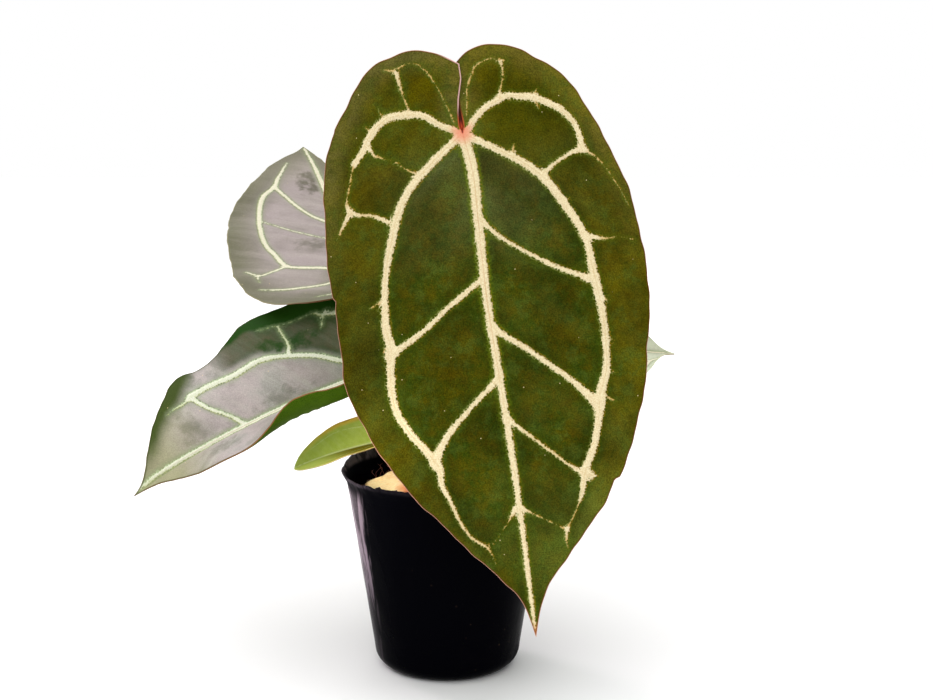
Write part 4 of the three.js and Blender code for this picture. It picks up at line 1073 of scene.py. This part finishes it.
def leaf_skin(tree, place, tooth, streaks):
    """The tissue group, fed from the blade's maps."""
    edge, fray, half = vein_distance(tree, place)
    sockets = {"Place": place, "Vein Edge": edge, "Tooth": times(tree, fray, tooth), "Streak Scale": streaks,
               "Across": attribute(tree, "across"), "Onward": attribute(tree, "onward")}
    return edge, half, use_group(tree, tissue, sockets)


def upper_face(name, look, sockets):
    """Velvet upper skin: mottled green, a painted pale sheen between the veins, and frayed cream veins."""
    made, tree, shader, place = new_material(name, sockets)
    mix, step, share = (partial(make, tree) for make in (mixed, ramp, times))
    rim, reach, outer, band, core, lee, across, onward, side = (attribute(tree, key) for key in (
        "margin", "reach", "outer", "band", "vein_core", "lee", "across", "onward", "side"))
    edge, half, skin = leaf_skin(tree, place, look["tooth"], look["streak scale"])
    cloud = noise_at(tree, place, 42.0, 4.0, 0.6)
    mottle = noise_at(tree, place, 130.0, 5.0, 0.7)
    grain = skin["Grain"]
    outside = step(outer, 0.5, 7.0)

    # Green tissue, darker beside the veins and browner outside the loops.
    shade = mix(share(skin["Patches"], step(edge, 0.5, 9.0, 0.35, 1.0)), look["deep"], look["olive"])
    banding = share(outside, step(skin["Patches"], 0.0, 1.0, 0.45, 1.0),
                    step(edge, 0.0, 7.0, look["band near"], 1.0))
    shade = mix(banding, shade, look["band"])
    shade = mix(step(mottle, 0.5, 0.66, 0.0, look["mottle share"]), shade, look["mottle"])
    shade = mix(step(mottle, 0.5, 0.36, 0.0, look["mottle share"]), shade, look["cool mottle"])
    # Painted sheen: lighter streaks along the folds.
    streaked = share(skin["Streaks"], step(edge, 0.5, 4.0), step(outside, 0.0, 1.0, 0.35, 1.0))
    shade = mix(share(streaked, look["streak share"]), shade, look["streak"])

    # Painted sheen: the pale light that the velvet throws back between the veins, painted into the colour.
    clear = plus(tree, 1.0, share(outside, step(reach, *look["clear reach"], look["clear"], 0.0)))
    outer_share = step(outside, 0.0, 1.0, 1.0, step(onward, 112.0, 136.0, *look["outer painted sheen"]))
    sheen_mask = share(step(maths(tree, "DIVIDE", edge, clear), -0.3, 1.0), step(cloud, 0.32, 0.6, 0.75, 1.0),
                   step(rim, 0.5, look["rim reach"], look["rim painted sheen"], 1.0), outer_share,
                   step(onward, 30.0, 120.0, look["near painted sheen"], 1.0))
    pale = mix(step(cloud, 0.4, 0.62), look["painted sheen"], look["cool painted sheen"])
    pale = mix(share(skin["Streaks"], look["pale streaks"]), pale, look["streak"])
    shade = mix(share(sheen_mask, look["painted sheen share"]), shade, pale)

    # Patches of other tones, whose edges are hazy: patches along the folds, and blots at given places.
    blotched = share(step(skin["Fold Noise"], 0.48, 0.72), step(edge, 0.3, 3.0), look["blotching share"])
    shade = mix(blotched, shade, look["blotching"])
    haze = share(minus(tree, noise_at(tree, place, 170.0, 4.0, 0.65), 0.5), 6.0)
    for middle_u, middle_v, wide, long, strength, tint in look["blots"]:
        off_u = maths(tree, "DIVIDE", minus(tree, across, middle_u), wide)
        off_v = maths(tree, "DIVIDE", minus(tree, onward, middle_v), long)
        off = plus(tree, plus(tree, share(off_u, off_u), share(off_v, off_v)), haze)
        shade = mix(share(step(off, -0.6, 1.6, 1.0, 0.0), step(edge, 0.0, 2.5), strength), shade, look[tint])

    # Broad changes of tone: round the stalk, towards the tip, in the outer band and at the lobes' crests.
    heart = share(step(rim, 7.0, 18.0), step(onward, 8.0, 36.0, 1.0, 0.0), look["heart share"],
                  step(across, -10.0, 4.0, 0.3, 1.0))
    shade = mix(heart, shade, look["heart"])
    low = share(step(onward, 145.0, 200.0), step(across, -10.0, 20.0, look["low left"], 1.0),
                step(outside, 0.0, 1.0, look["low inside"], 1.0), look["low share"])
    shade = mix(low, shade, look["low"])
    wander = share(minus(tree, cloud, 0.5), 6.0)
    into_band = maths(tree, "DIVIDE", plus(tree, band, wander), step(onward, 110.0, 150.0, 1.0, 3.0))
    banded = share(step(into_band, -1.4, 1.6), step(onward, 190.0, 222.0, 1.0, 0.3))
    shade = mix(banded, shade, mix(step(onward, 110.0, 150.0), look["deep"], look["far deep"]))
    # Lighter crests of the lobes; on the left lobe the crest tone is a painted sheen.
    crest = share(step(rim, 1.0, 13.0, 1.0, 0.0), step(onward, 10.0, 80.0, 1.0, 0.0),
                  step(mottle, 0.4, 0.58, 0.45, 1.0), step(cloud, 0.36, 0.6, 1.15, 0.6), look["crest share"])
    shade = mix(crest, shade, mix(step(across, -12.0, 12.0), look["left crest"], look["crest"]))
    # Painted sheen: a pale shimmer beside the midrib near the stalk.
    shimmer = share(step(reach, 12.0, 80.0, 0.5, 0.0), step(onward, 0.0, 14.0),
                    step(outside, 0.0, 1.0, 1.0, 0.3), step(skin["Fold Noise"], 0.35, 0.6, 0.5, 1.0),
                    look["shimmer"])
    shade = mix(shimmer, shade, look["painted sheen"])

    # Light and dark grain, painted shade over the outer band of the left half, and specks of dust.
    dim = share(outside, step(across, -55.0, -20.0, 1.0, 0.0), step(onward, 20.0, 130.0, 0.4, 1.0))
    grained = share(step(grain, 0.34, 0.68, *look["grain"]), step(dim, 0.0, 1.0, 1.0, look["left value"]),
                    step(cloud, 0.35, 0.62, *look["cloud value"]))
    shade = add_node(tree, "ShaderNodeHueSaturation", {"Value": grained, "Color": shade}).outputs[0]
    shade = mix(specks(tree, place, 1050.0, 0.0022), shade, tone(236, 214, 160))

    # Veins: a glow and a fringe beside them, cream that frays at the edges, red at the stalk, a brown tip.
    near_rib = share(step(core, 3.0, 8.0, 0.8, look["glow share"]), step(reach, 60.0, 170.0, 0.8, 0.4))
    shade = mix(share(skin["Glow"], near_rib), shade, look["glow"])
    side_tone = mix(step(lee, -0.5, 0.5), look["left fringe"], look["right fringe"])
    shade = mix(share(skin["Fringe"], look["fringe share"]), shade, side_tone)
    cream = mix(step(grain, 0.38, 0.62, 0.7, 0.0), look["vein"], look["vein shade"])
    cream = mix(share(skin["Selvage"], 0.55), cream, side_tone)
    cream = mix(step(half, 0.1, 0.8, look["fine vein share"], 0.0), cream, look["fine vein"])
    spine = maths(tree, "ABSOLUTE", plus(tree, edge, half))
    ridge = share(step(spine, 0.08, 0.4, 0.4, 0.0), step(half, 0.6, 1.1), step(cloud, 0.42, 0.55))
    cream = mix(ridge, cream, look["vein shade"])
    thread = share(step(core, 0.1, 0.45, 0.35, 0.0), step(reach, 60.0, 150.0, 1.0, 0.0))
    cream = mix(thread, cream, tone(200, 150, 108))
    cream = mix(step(reach, 1.0, 7.5, 0.75, 0.0), cream, tone(226, 122, 96))
    shade = mix(skin["Vein"], shade, cream)
    shade = mix(step(reach, 221.0, 229.0, 0.0, 0.8), shade, tone(226, 128, 70))

    # The reddish rim, darker in the notch, and the pale edge of the lobe that laps over the other.
    lip = mix(step(reach, 30.0, 40.0), tone(84, 26, 18), look["rim"])
    lip_shade = mix(step(reach, 5.0, 11.0), tone(206, 84, 58), look["rim shade"])
    shade = mix(step(rim, 0.35, 1.0, 0.7, 0.0), shade, lip_shade)
    shade = mix(step(rim, 0.12, 0.36, 0.9, 0.0), shade, lip)
    lapping = share(step(side, -0.5, 0.5, 1.0, 0.0), step(reach, 32.0, 38.0, 1.0, 0.0),
                    step(reach, 6.0, 14.0), step(rim, 0.3, 0.75, 0.9, 0.0))
    shade = mix(lapping, shade, tone(236, 190, 182))
    rough = sockets["Roughness"]
    tree.links.new(step(cloud, 0.3, 0.7, rough - 0.06, rough + 0.06), shader.inputs["Roughness"])
    raised = plus(tree, share(skin["Vein"], 0.14), share(grain, 0.12))
    sunk = plus(tree, share(skin["Net"], 0.03), share(ridge, 0.2))
    paint(tree, shader, shade, minus(tree, raised, sunk), 0.7)
    return made


def under_face(name, skin_tone, vein_tone, sockets):
    """Smooth paler underside, on which the veins stand out."""
    made, tree, shader, place = new_material(name, sockets)
    edge, _, skin = leaf_skin(tree, place, 0.35, 0.15)
    darker = tuple(c * 0.72 for c in skin_tone[:3]) + (1.0,)
    shade = mixed(tree, skin["Patches"], skin_tone, darker)
    shade = mixed(tree, times(tree, skin["Net"], 0.25), shade, vein_tone)
    shade = mixed(tree, ramp(tree, edge, -0.4, 0.5, 0.85, 0.0), shade, vein_tone)
    shade = mixed(tree, ramp(tree, attribute(tree, "margin"), 0.2, 0.6, 0.8, 0.0), shade, tone(150, 96, 66))
    paint(tree, shader, shade, times(tree, skin["Net"], 0.08), 0.7)
    return made


# Stalks: round and solid, green tinged with red, thicker at the foot and at the knuckle below the blade.
stalk_look, tree, shader, place = new_material("leaf stalk", {"Roughness": 0.6, "Specular IOR Level": 0.12})
ribs = noise_at(tree, stretched(tree, place, (1.0, 1.0, 0.18)), 900.0, 3.0, 0.6)
flush = noise_at(tree, place, 60.0, 3.0)
top = attribute(tree, "to_blade")
shade = mixed(tree, ramp(tree, ribs, 0.35, 0.65), tone(88, 88, 40), tone(128, 126, 62))
shade = mixed(tree, ramp(tree, flush, 0.45, 0.7, 0.0, 0.6), shade, tone(124, 76, 48))
shade = mixed(tree, times(tree, specks(tree, place, 900.0, 0.16), 0.5), shade, tone(186, 178, 120))
shade = mixed(tree, ramp(tree, top, 6.0, 26.0, 0.95, 0.0), shade, tone(84, 18, 14))
shade = mixed(tree, ramp(tree, top, 1.5, 6.0), tone(204, 74, 42), shade)
paint(tree, shader, shade, ribs, 0.25)


def stalk(name, leaf):
    """A tube from the stem that runs behind the blade and turns over into the notch."""
    origin, along, _, up = (part[0] for part in rib_frame(leaf, np.zeros(1)))
    radius = leaf["stalk radius"]
    size = radius / FRONT_STALK_RADIUS
    local = [(-13 * size, -7.5 * size), (-10 * size, -4.2 * size), (-5 * size, -2.2 * size), (-0.5, -1.5)]
    angle = math.radians(leaf["stalk bearing"])
    base = (STEM_X + STALK_RING_RADIUS * math.cos(angle), STEM_Y + STALK_RING_RADIUS * math.sin(angle),
            STALK_BASE_LEVEL)
    route = [base, *leaf["stalk path"], *[origin + along * back + up * below for back, below in local]]
    centres, travel = curve_points(route, 110)
    to_blade = travel[-1] - travel
    knuckle = 0.18 * np.exp(-((to_blade - 15 * size) / 6) ** 2)
    radii = radius * (1 + 0.2 * np.exp(-(travel / 14) ** 2) + knuckle)
    radii *= (1 - 0.42 * np.exp(-(to_blade / 6) ** 2)) * np.sqrt(np.clip(to_blade / 1.2, 0.05, 1))
    radii *= 1 + 0.012 * np.sin(travel * 0.9)
    mesh = bmesh.new()
    tube(mesh, centres, radii, 28)
    bmesh.ops.recalc_face_normals(mesh, faces=mesh.faces)
    near = mesh.verts.layers.float.new("to_blade")
    top = Vector(centres[-1]) * MM
    for vert in mesh.verts:
        vert[near] = (vert.co - top).length / MM
    finish_piece(name, mesh, [stalk_look], ["stalk_" + leaf["node"]])


# The large front leaf hangs nearly upright towards the viewer, about 270 mm long, dark olive velvet.
# Its cream veins are frayed at their edges, and the left lobe laps over the right one above the stalk.
FRONT = {
    "node": "front", "midrib": [(8, -60, 270), (19, -78, 197), (31, -93, 113), (41, -98, 47)],
    "facing": (0, -1, 0.17), "outline": MATURE, "wave height": 1.2, "waves": 7, "quilt": 0.5, "frill": 1.0,
    "lap": 1.0,
    -1: {"width": (1, 1, 1), "fold": (-4, -3, -2), "curl": (-10, -8, -6), "bend": 1},
    1: {"width": (1, 1, 1), "fold": (-4, -3, -2), "curl": (-10, -8, -6), "bend": 1},
    "stalk radius": FRONT_STALK_RADIUS, "stalk bearing": -62,
    "stalk path": [(3.5, -4, 105), (4, -14, 150), (4, -27, 205), (4.5, -40, 255)],
    "veins": FRONT_VEINS,
    "loop line": {1: FRONT_VEINS["right loop"][0], -1: FRONT_VEINS["left loop"][0]}, "band line": {},
    "nicks": {1: [(164, 2.4, 12)], -1: [(65, 1.9, 12), (-12, 0.8, 8)]},
}
# A look holds the tones of a leaf's skin, and how far and how strongly each of them spreads.
FRONT_LOOK = {
    "deep": tone(40, 54, 2), "olive": tone(70, 64, 2), "band": tone(82, 75, 6), "grain": (0.62, 1.5),
    "band near": 0.5, "mottle": tone(69, 55, 1), "cool mottle": tone(66, 84, 26), "mottle share": 0.42,
    "cloud value": (0.75, 1.2), "fringe share": 0.45, "left crest": tone(120, 114, 58),
    "painted sheen": tone(112, 114, 74), "cool painted sheen": tone(78, 92, 56), "painted sheen share": 0.04, "rim painted sheen": 0.26,
    "rim reach": 6.0, "near painted sheen": 1.0, "outer painted sheen": (1.0, 1.0), "clear": 0.0, "clear reach": (30.0, 60.0),
    "shimmer": 0.5, "crest": tone(124, 114, 44), "crest share": 0.58, "heart": tone(52, 52, 2),
    "heart share": 0.6, "left value": 0.72, "streak": tone(90, 96, 24), "streak share": 0.16,
    "streak scale": 0.075, "pale streaks": 0.2, "blotching": tone(74, 90, 34), "blotching share": 0.25,
    "blots": [(-15, -20, 12, 12, 0.6, "umber"), (16, -24, 14, 10, 0.5, "umber"),
              (-50, 22, 10, 12, 0.4, "umber"), (22, 18, 10, 8, 0.35, "umber"),
              (-26, 112, 10, 16, 0.25, "umber"), (58, 80, 8, 22, 0.3, "umber")],
    "umber": tone(84, 72, 0), "low": tone(98, 110, 42), "low share": 0.7, "low left": 0.2, "low inside": 0.45,
    "far deep": tone(42, 57, 4), "glow": tone(92, 108, 20), "glow share": 0.3,
    "left fringe": tone(150, 154, 84), "right fringe": tone(150, 118, 30), "vein": tone(240, 228, 190),
    "vein shade": tone(206, 178, 124), "fine vein": tone(190, 154, 76), "fine vein share": 0.75,
    "tooth": 1.15, "rim": tone(216, 164, 140), "rim shade": tone(92, 52, 24),
}
front_upper = upper_face("front leaf velvet", FRONT_LOOK, {"Roughness": 0.62, "Specular IOR Level": 0.0})
mature_under = under_face("mature leaf underside", tone(88, 112, 34), tone(150, 162, 88),
                          {"Roughness": 0.5, "Specular IOR Level": 0.35})
blade("front_leaf", FRONT, 128, 250, front_upper, mature_under)
stalk("front_leaf_stalk", FRONT)

# The back left leaf lies nearly flat on top; the grey-lilac sheen that its velvet throws back from the light
# behind is painted into its colour.
# Its lobes are hidden, so their veins mirror each other.
BACK_VEINS = {"midrib": SPINE, **BACK_HALF, **mirrored(BACK_HALF)}
BACK_PATTERN = {
    "mouth": -31,
    1: [(8, -37), (19, -39), (35, -37), (50, -30), (60, -19), (69, -3), (75, 18), (77, 42), (77, 67),
        (75, 90), (71, 117), (63, 141), (50, 166), (38, 188), (30, 201), (22, 210), (14, 217), (6, 223),
        (0, 230)],
    -1: [*MATURE[-1][:10], (-59, 133), (-44, 151), (-27, 170), (-11, 189), (-7, 202), (-4, 215), (0, 230)],
}
BACK_LEFT = {
    "node": "back_left", "midrib": [(-49, 38, 194), (-59, 86, 209), (-69, 135, 231), (-87, 170, 254)],
    "facing": (-0.1, -0.35, 1), "outline": BACK_PATTERN, "wave height": 1.5, "waves": 6, "quilt": 1.0,
    "frill": 1.0,
    -1: {"width": (1.22, 1.22, 1.22), "fold": (10, 14, 12), "curl": (-14, -8, -5), "bend": 1},
    1: {"width": (1.22, 1.25, 1.5), "fold": (2, 8, 8), "curl": (-5, -5, -5), "bend": 1},
    "stalk radius": 1.6, "stalk bearing": 92,
    "stalk path": [(0, 13, 105), (-5, 24, 136), (-15, 33, 160), (-29, 37, 175), (-41, 35, 183)],
    "veins": BACK_VEINS,
    "loop line": {1: BACK_HALF["loop"][0], -1: BACK_HALF["loop"][0]}, "band line": {},
}
sheeny = {"Roughness": 0.6, "Specular IOR Level": 0.06, "Sheen Weight": 0.05, "Sheen Roughness": 0.45,
          "Sheen Tint": tone(238, 226, 240)}
PALE_LOOK = {
    "clear": 0.0, "clear reach": (30.0, 60.0), "shimmer": 0.0, "left crest": tone(200, 190, 180),
    "crest": tone(200, 190, 180), "crest share": 0.0, "heart": tone(200, 190, 180), "heart share": 0.0,
    "left value": 1.0, "low left": 1.0, "low inside": 1.0, "fringe share": 0.5,
}
BACK_LOOK = {
    **PALE_LOOK, "deep": tone(80, 86, 50), "olive": tone(88, 86, 58), "band": tone(96, 98, 66),
    "grain": (0.88, 1.12), "band near": 0.7, "mottle": tone(88, 86, 58), "cool mottle": tone(80, 86, 50),
    "mottle share": 0.0, "cloud value": (0.95, 1.05), "painted sheen": tone(184, 169, 170),
    "cool painted sheen": tone(156, 145, 142), "painted sheen share": 0.9, "rim painted sheen": 0.25, "rim reach": 19.0,
    "near painted sheen": 1.0, "outer painted sheen": (0.85, 0.85), "streak": tone(204, 192, 186), "streak share": 0.06,
    "streak scale": 0.07, "pale streaks": 0.3, "blotching": tone(84, 82, 64), "blotching share": 0.2,
    "blots": [(9, 168, 8, 20, 0.85, "blotching"), (18, 60, 14, 12, 0.5, "blotching")],
    "low": tone(146, 140, 122), "low share": 0.35, "far deep": tone(80, 86, 50),
    "glow": tone(140, 150, 112), "glow share": 0.4, "left fringe": tone(178, 190, 150),
    "right fringe": tone(170, 178, 130), "vein": tone(232, 226, 204), "vein shade": tone(204, 200, 168),
    "fine vein": tone(216, 210, 190), "fine vein share": 0.8, "tooth": 0.6, "rim": tone(166, 156, 130),
    "rim shade": tone(120, 120, 88),
}
back_upper = upper_face("back leaf velvet", BACK_LOOK, sheeny)
blade("back_left_leaf", BACK_LEFT, 72, 150, back_upper, mature_under)
stalk("back_left_leaf_stalk", BACK_LEFT)

# The left leaf reaches out and down, folded along its midrib. Its near half is turned up on edge, so that
# its grass-green underside shows; the grey sheen on its dark green upper face, where the light falls, is
# painted.
LEFT_VEINS = {
    "midrib": ([(0, 1), (0, 60), (0, 110), (-1, 150), (-2, 200), (-1, 226)], [2.0, 1.9, 1.6, 1.2, 0.8, 0.3]),
    "near loop": ([(2, 2), (12, 16), (26, 38), (38, 62), (46, 84), (50, 104)],
                  [1.4, 1.4, 1.3, 1.0, 0.5, -0.3]),
    "near rung": ([(2, 18), (18, 44), (38, 64)], [1.0, 0.8, 0.9]),
    **LEFT_HALF,
}
LEFT = {
    "node": "left", "midrib": [(-26, 5, 152), (-68, 0, 139), (-112, -8, 121), (-154, -20, 91)],
    "facing": (0, -0.2, 1), "outline": LEFT_PATTERN, "wave height": 2, "waves": 6, "quilt": 0.9, "frill": 0.9,
    -1: {"width": (1.05, 1.05, 1.7), "fold": (50, 52, 62), "curl": (-5, -15, -40), "bend": 1},
    1: {"width": (1.2, 0.94, 0.58), "fold": (8, 6, -14), "curl": (70, 60, 14), "bend": 4},
    "stalk radius": 1.6, "stalk bearing": 160,
    "stalk path": [(-5, 6.5, 105), (-9, 8, 128), (-12.5, 8.3, 142)],
    "veins": LEFT_VEINS,
    "loop line": {1: LEFT_VEINS["near loop"][0],
                  -1: LEFT_HALF["loop"][0] + [(-32, 168), (-28, 180), (-20, 190)]},
    "band line": {-1: LEFT_BAND},
}
LEFT_LOOK = {
    **PALE_LOOK, "deep": tone(26, 64, 0), "olive": tone(58, 64, 12), "band": tone(66, 64, 26),
    "grain": (0.85, 1.15), "band near": 0.2, "mottle": tone(70, 66, 34), "cool mottle": tone(60, 74, 40),
    "mottle share": 0.3, "cloud value": (0.92, 1.08), "painted sheen": tone(208, 193, 192),
    "cool painted sheen": tone(160, 156, 150), "painted sheen share": 0.95, "rim painted sheen": 0.85, "rim reach": 4.0,
    "near painted sheen": 0.68, "outer painted sheen": (0.1, 0.9), "clear": 5.0, "clear reach": (45.0, 62.0),
    "streak": tone(206, 200, 190), "streak share": 0.04, "streak scale": 0.09, "pale streaks": 0.45,
    "blotching": tone(90, 96, 76), "blotching share": 0.35,
    "blots": [(-14, 165, 11, 8, 0.55, "blotching"), (-8, 92, 9, 22, 0.55, "blotching"),
              (20, 150, 12, 20, 0.45, "blotching"), (-50, 66, 7, 16, 0.95, "deep"), (-53, 84, 6, 12, 0.8, "deep"),
              (-46, 140, 12, 12, 0.45, "painted sheen")],
    "low": tone(156, 154, 112), "low share": 0.8, "far deep": tone(62, 76, 24),
    "glow": tone(140, 158, 112), "glow share": 0.5, "left fringe": tone(186, 204, 158),
    "right fringe": tone(190, 196, 130), "vein": tone(240, 240, 222), "vein shade": tone(204, 210, 176),
    "fine vein": tone(190, 200, 140), "fine vein share": 0.5, "tooth": 0.8, "rim": tone(112, 88, 46),
    "rim shade": tone(46, 66, 16),
}
left_upper = upper_face("left leaf velvet", LEFT_LOOK, {"Roughness": 0.6, "Specular IOR Level": 0.15})
left_under = under_face("left leaf underside", tone(56, 84, 0), tone(94, 122, 30),
                        {"Roughness": 0.6, "Specular IOR Level": 0.04})
blade("left_leaf", LEFT, 80, 160, left_upper, left_under)
stalk("left_leaf_stalk", LEFT)

# The right leaf stands behind the front one; only its pale tip shows past it.
# The rest of it, a smaller copy of the back left leaf, is guessed.
RIGHT = {
    "node": "right", "midrib": [(39, 15, 161), (70, 35, 158), (98, 62, 148), (125, 85, 144)],
    "facing": (0.1, -0.8, 0.6), "outline": MATURE, "wave height": 1, "waves": 5, "quilt": 0.7, "frill": 0.9,
    -1: {"width": (1, 0.85, 0.45), "fold": (10, 25, 48), "curl": (-5, -5, -5), "bend": 1},
    1: {"width": (1, 1, 1), "fold": (10, 8, 5), "curl": (-5, -5, -5), "bend": 1},
    "stalk radius": 1.4, "stalk bearing": 15,
    "stalk path": [(8, 7, 105), (15, 10.5, 130), (23, 12.8, 148)],
    "veins": BACK_VEINS,
    "loop line": {1: BACK_HALF["loop"][0], -1: BACK_HALF["loop"][0]}, "band line": {},
}
# The right leaf's pale tone is mostly a painted sheen.
RIGHT_LOOK = {
    **BACK_LOOK, "deep": tone(136, 150, 104), "painted sheen": tone(232, 238, 214), "cool painted sheen": tone(220, 230, 200),
    "outer painted sheen": (1.0, 1.0), "rim painted sheen": 0.9, "blotching share": 0.1, "blots": [], "rim": tone(216, 216, 184),
    "rim shade": tone(204, 212, 168),
}
right_upper = upper_face("right leaf velvet", RIGHT_LOOK, sheeny)
blade("right_leaf", RIGHT, 60, 120, right_upper, mature_under)
stalk("right_leaf_stalk", RIGHT)

# The newest leaf is small, thin and fresh light green, with an orange-yellow tinge along its margin.
# Its veins hardly show yet, and the foot of its near half is olive brown.
YOUNG_LOOP = {"loop": ([(2, 2), (24, 22), (42, 70), (44, 130), (26, 185)], [0.1, 0.0, -0.1, -0.2, -0.5])}
YOUNG_BOUND = [(0, 0), (44, 130), (20, 200)]
SMALL = {
    "node": "small", "midrib": [(-26, 0, 115), (-44, 0, 112), (-62, 0, 107), (-77, 0, 100)],
    "facing": (0, -0.3, 1), "outline": YOUNG, "wave height": 0.3, "waves": 5, "quilt": 0.25, "frill": 0.4,
    -1: {"width": (1.15, 1.15, 1.15), "fold": (40, 30, 25), "curl": (-5, -5, -5), "bend": 1},
    1: {"width": (1.15, 1.15, 1.15), "fold": (26, 19, 8), "curl": (0, 0, 0), "bend": 1},
    "stalk radius": 1.1, "stalk bearing": 228, "stalk path": [(-4.2, 0.6, 99), (-9, 1, 107)],
    "veins": {"midrib": SPINE, **YOUNG_LOOP, **mirrored(YOUNG_LOOP)},
    "loop line": {1: YOUNG_BOUND, -1: YOUNG_BOUND}, "band line": {},
}
young_upper, tree, shader, place = new_material(
    "young leaf skin", {"Roughness": 0.5, "Specular IOR Level": 0.0})
rim, reach, across = (attribute(tree, key) for key in ("margin", "reach", "across"))
edge, _, skin = leaf_skin(tree, place, 0.3, 0.1)
shade = mixed(tree, skin["Patches"], tone(184, 202, 92), tone(164, 184, 72))
shade = mixed(tree, times(tree, skin["Streaks"], 0.3), shade, tone(190, 204, 120))
shade = mixed(tree, times(tree, skin["Net"], 0.2), shade, tone(182, 194, 104))
near_half = ramp(tree, across, 0.5, 4.0)
shade = mixed(tree, times(tree, near_half, 0.8), shade, tone(204, 220, 108))
olive_foot = times(tree, near_half, ramp(tree, reach, 20.0, 44.0, 0.9, 0.0))
shade = mixed(tree, olive_foot, shade, tone(118, 104, 4))
autumn = times(tree, ramp(tree, reach, 26.0, 52.0, 1.0, 0.0), ramp(tree, across, -2.0, 2.0, 1.0, 0.2),
               ramp(tree, rim, 0.5, 3.6, 0.9, 0.0))
shade = mixed(tree, autumn, shade, tone(255, 200, 84))
shade = mixed(tree, ramp(tree, edge, -0.5, 0.6, 0.8, 0.0), shade, tone(230, 236, 170))
shade = mixed(tree, ramp(tree, rim, 0.1, 0.5, 0.6, 0.0), shade, tone(200, 196, 130))
paint(tree, shader, shade, times(tree, skin["Net"], -0.06), 0.7)
young_under = under_face("young leaf underside", tone(160, 164, 70), tone(196, 200, 120),
                         {"Roughness": 0.4, "Specular IOR Level": 0.4})
blade("small_leaf", SMALL, 44, 90, young_upper, young_under)
stalk("small_leaf_stalk", SMALL)

# Studio: a plain white floor, a soft top light, a bright panel behind and weak light from the front.
FLOOR_HALF_WIDTH = 4.0
FLOOR_DROP = 0.0004
floor_mesh = bmesh.new()
bmesh.ops.create_grid(floor_mesh, x_segments=1, y_segments=1, size=FLOOR_HALF_WIDTH)
bmesh.ops.translate(floor_mesh, verts=floor_mesh.verts, vec=(0, 0, -FLOOR_DROP))
floor_data = mesh_data("floor", floor_mesh)
floor = new_object("floor", floor_data)
floor_look, tree, shader, place = new_material("white floor", {"Roughness": 0.9, "Specular IOR Level": 0.0})
shader.inputs["Base Color"].default_value = tone(237, 237, 237)
floor_data.materials.append(floor_look)


def light(name, kind, power, place, aim, colour=(1.0, 1.0, 1.0), **settings):
    data = bpy.data.lights.new(name, kind)
    data.energy = power
    data.color = colour
    for key, value in settings.items():
        setattr(data, key, value)
    made = new_object(name, data)
    made.location = place
    made.rotation_euler = (Vector(aim) - Vector(place)).to_track_quat("-Z", "Y").to_euler()
    made.visible_camera = kind != "AREA"
    return made


light("back light", "AREA", 12, (-0.25, 1.5, 0.9), (0, 0, 0.15), shape="RECTANGLE", size=2.0, size_y=1.1)
light("left window", "AREA", 6, (-0.8, 0.8, 0.3), (0, 0, 0.08), (1.0, 0.86, 0.94),
      shape="RECTANGLE", size=0.28, size_y=0.6)
light("front light", "AREA", 2.5, (0.4, -1.6, 0.9), (0, 0, 0.15), shape="RECTANGLE", size=1.0, size_y=0.8)
light("pot mouth light", "SPOT", 52, (-0.25, -0.8, 0.38), (-0.027, 0.0, 0.094), (1.0, 0.93, 0.84),
      spot_size=math.radians(4.3), spot_blend=1.0, shadow_soft_size=0.03)
light("floor fill", "SPOT", 4.4, (0.0, -0.55, 0.32), (-0.005, -0.1, 0.0),
      spot_size=math.radians(24), spot_blend=1.0, shadow_soft_size=0.12)
sky = light("soft sky", "SUN", 2.35, (0, 0, 0), (0, 0, -1), angle=math.radians(75))
sky.rotation_euler = (math.radians(14), math.radians(-8), 0)

world = bpy.data.worlds.new("studio white")
bpy.context.scene.world = world
world.use_nodes = True
tree = world.node_tree
seen = add_node(tree, "ShaderNodeLightPath").outputs["Is Camera Ray"]
strength = add_node(tree, "ShaderNodeMapRange", {"Value": seen, "To Min": 0.5, "To Max": 1.0}).outputs[0]
tree.nodes["Background"].inputs["Color"].default_value = (1, 1, 1, 1)
tree.links.new(strength, tree.nodes["Background"].inputs["Strength"])
bpy.context.scene.view_settings.view_transform = "Standard"

CAMERA_PITCH = 9.7
CAMERA_PLACE = (0.0098, -0.776, 0.2935)
CAMERA_LENS = 61.16
camera_data = bpy.data.cameras.new("camera")
camera_data.sensor_width = 36.0
camera_data.sensor_fit = "HORIZONTAL"
camera_data.lens = CAMERA_LENS
camera_data.clip_start = 0.01
camera = new_object("camera", camera_data)
camera.location = CAMERA_PLACE
camera.rotation_euler = (math.radians(90 - CAMERA_PITCH), 0, 0)
bpy.context.scene.camera = camera
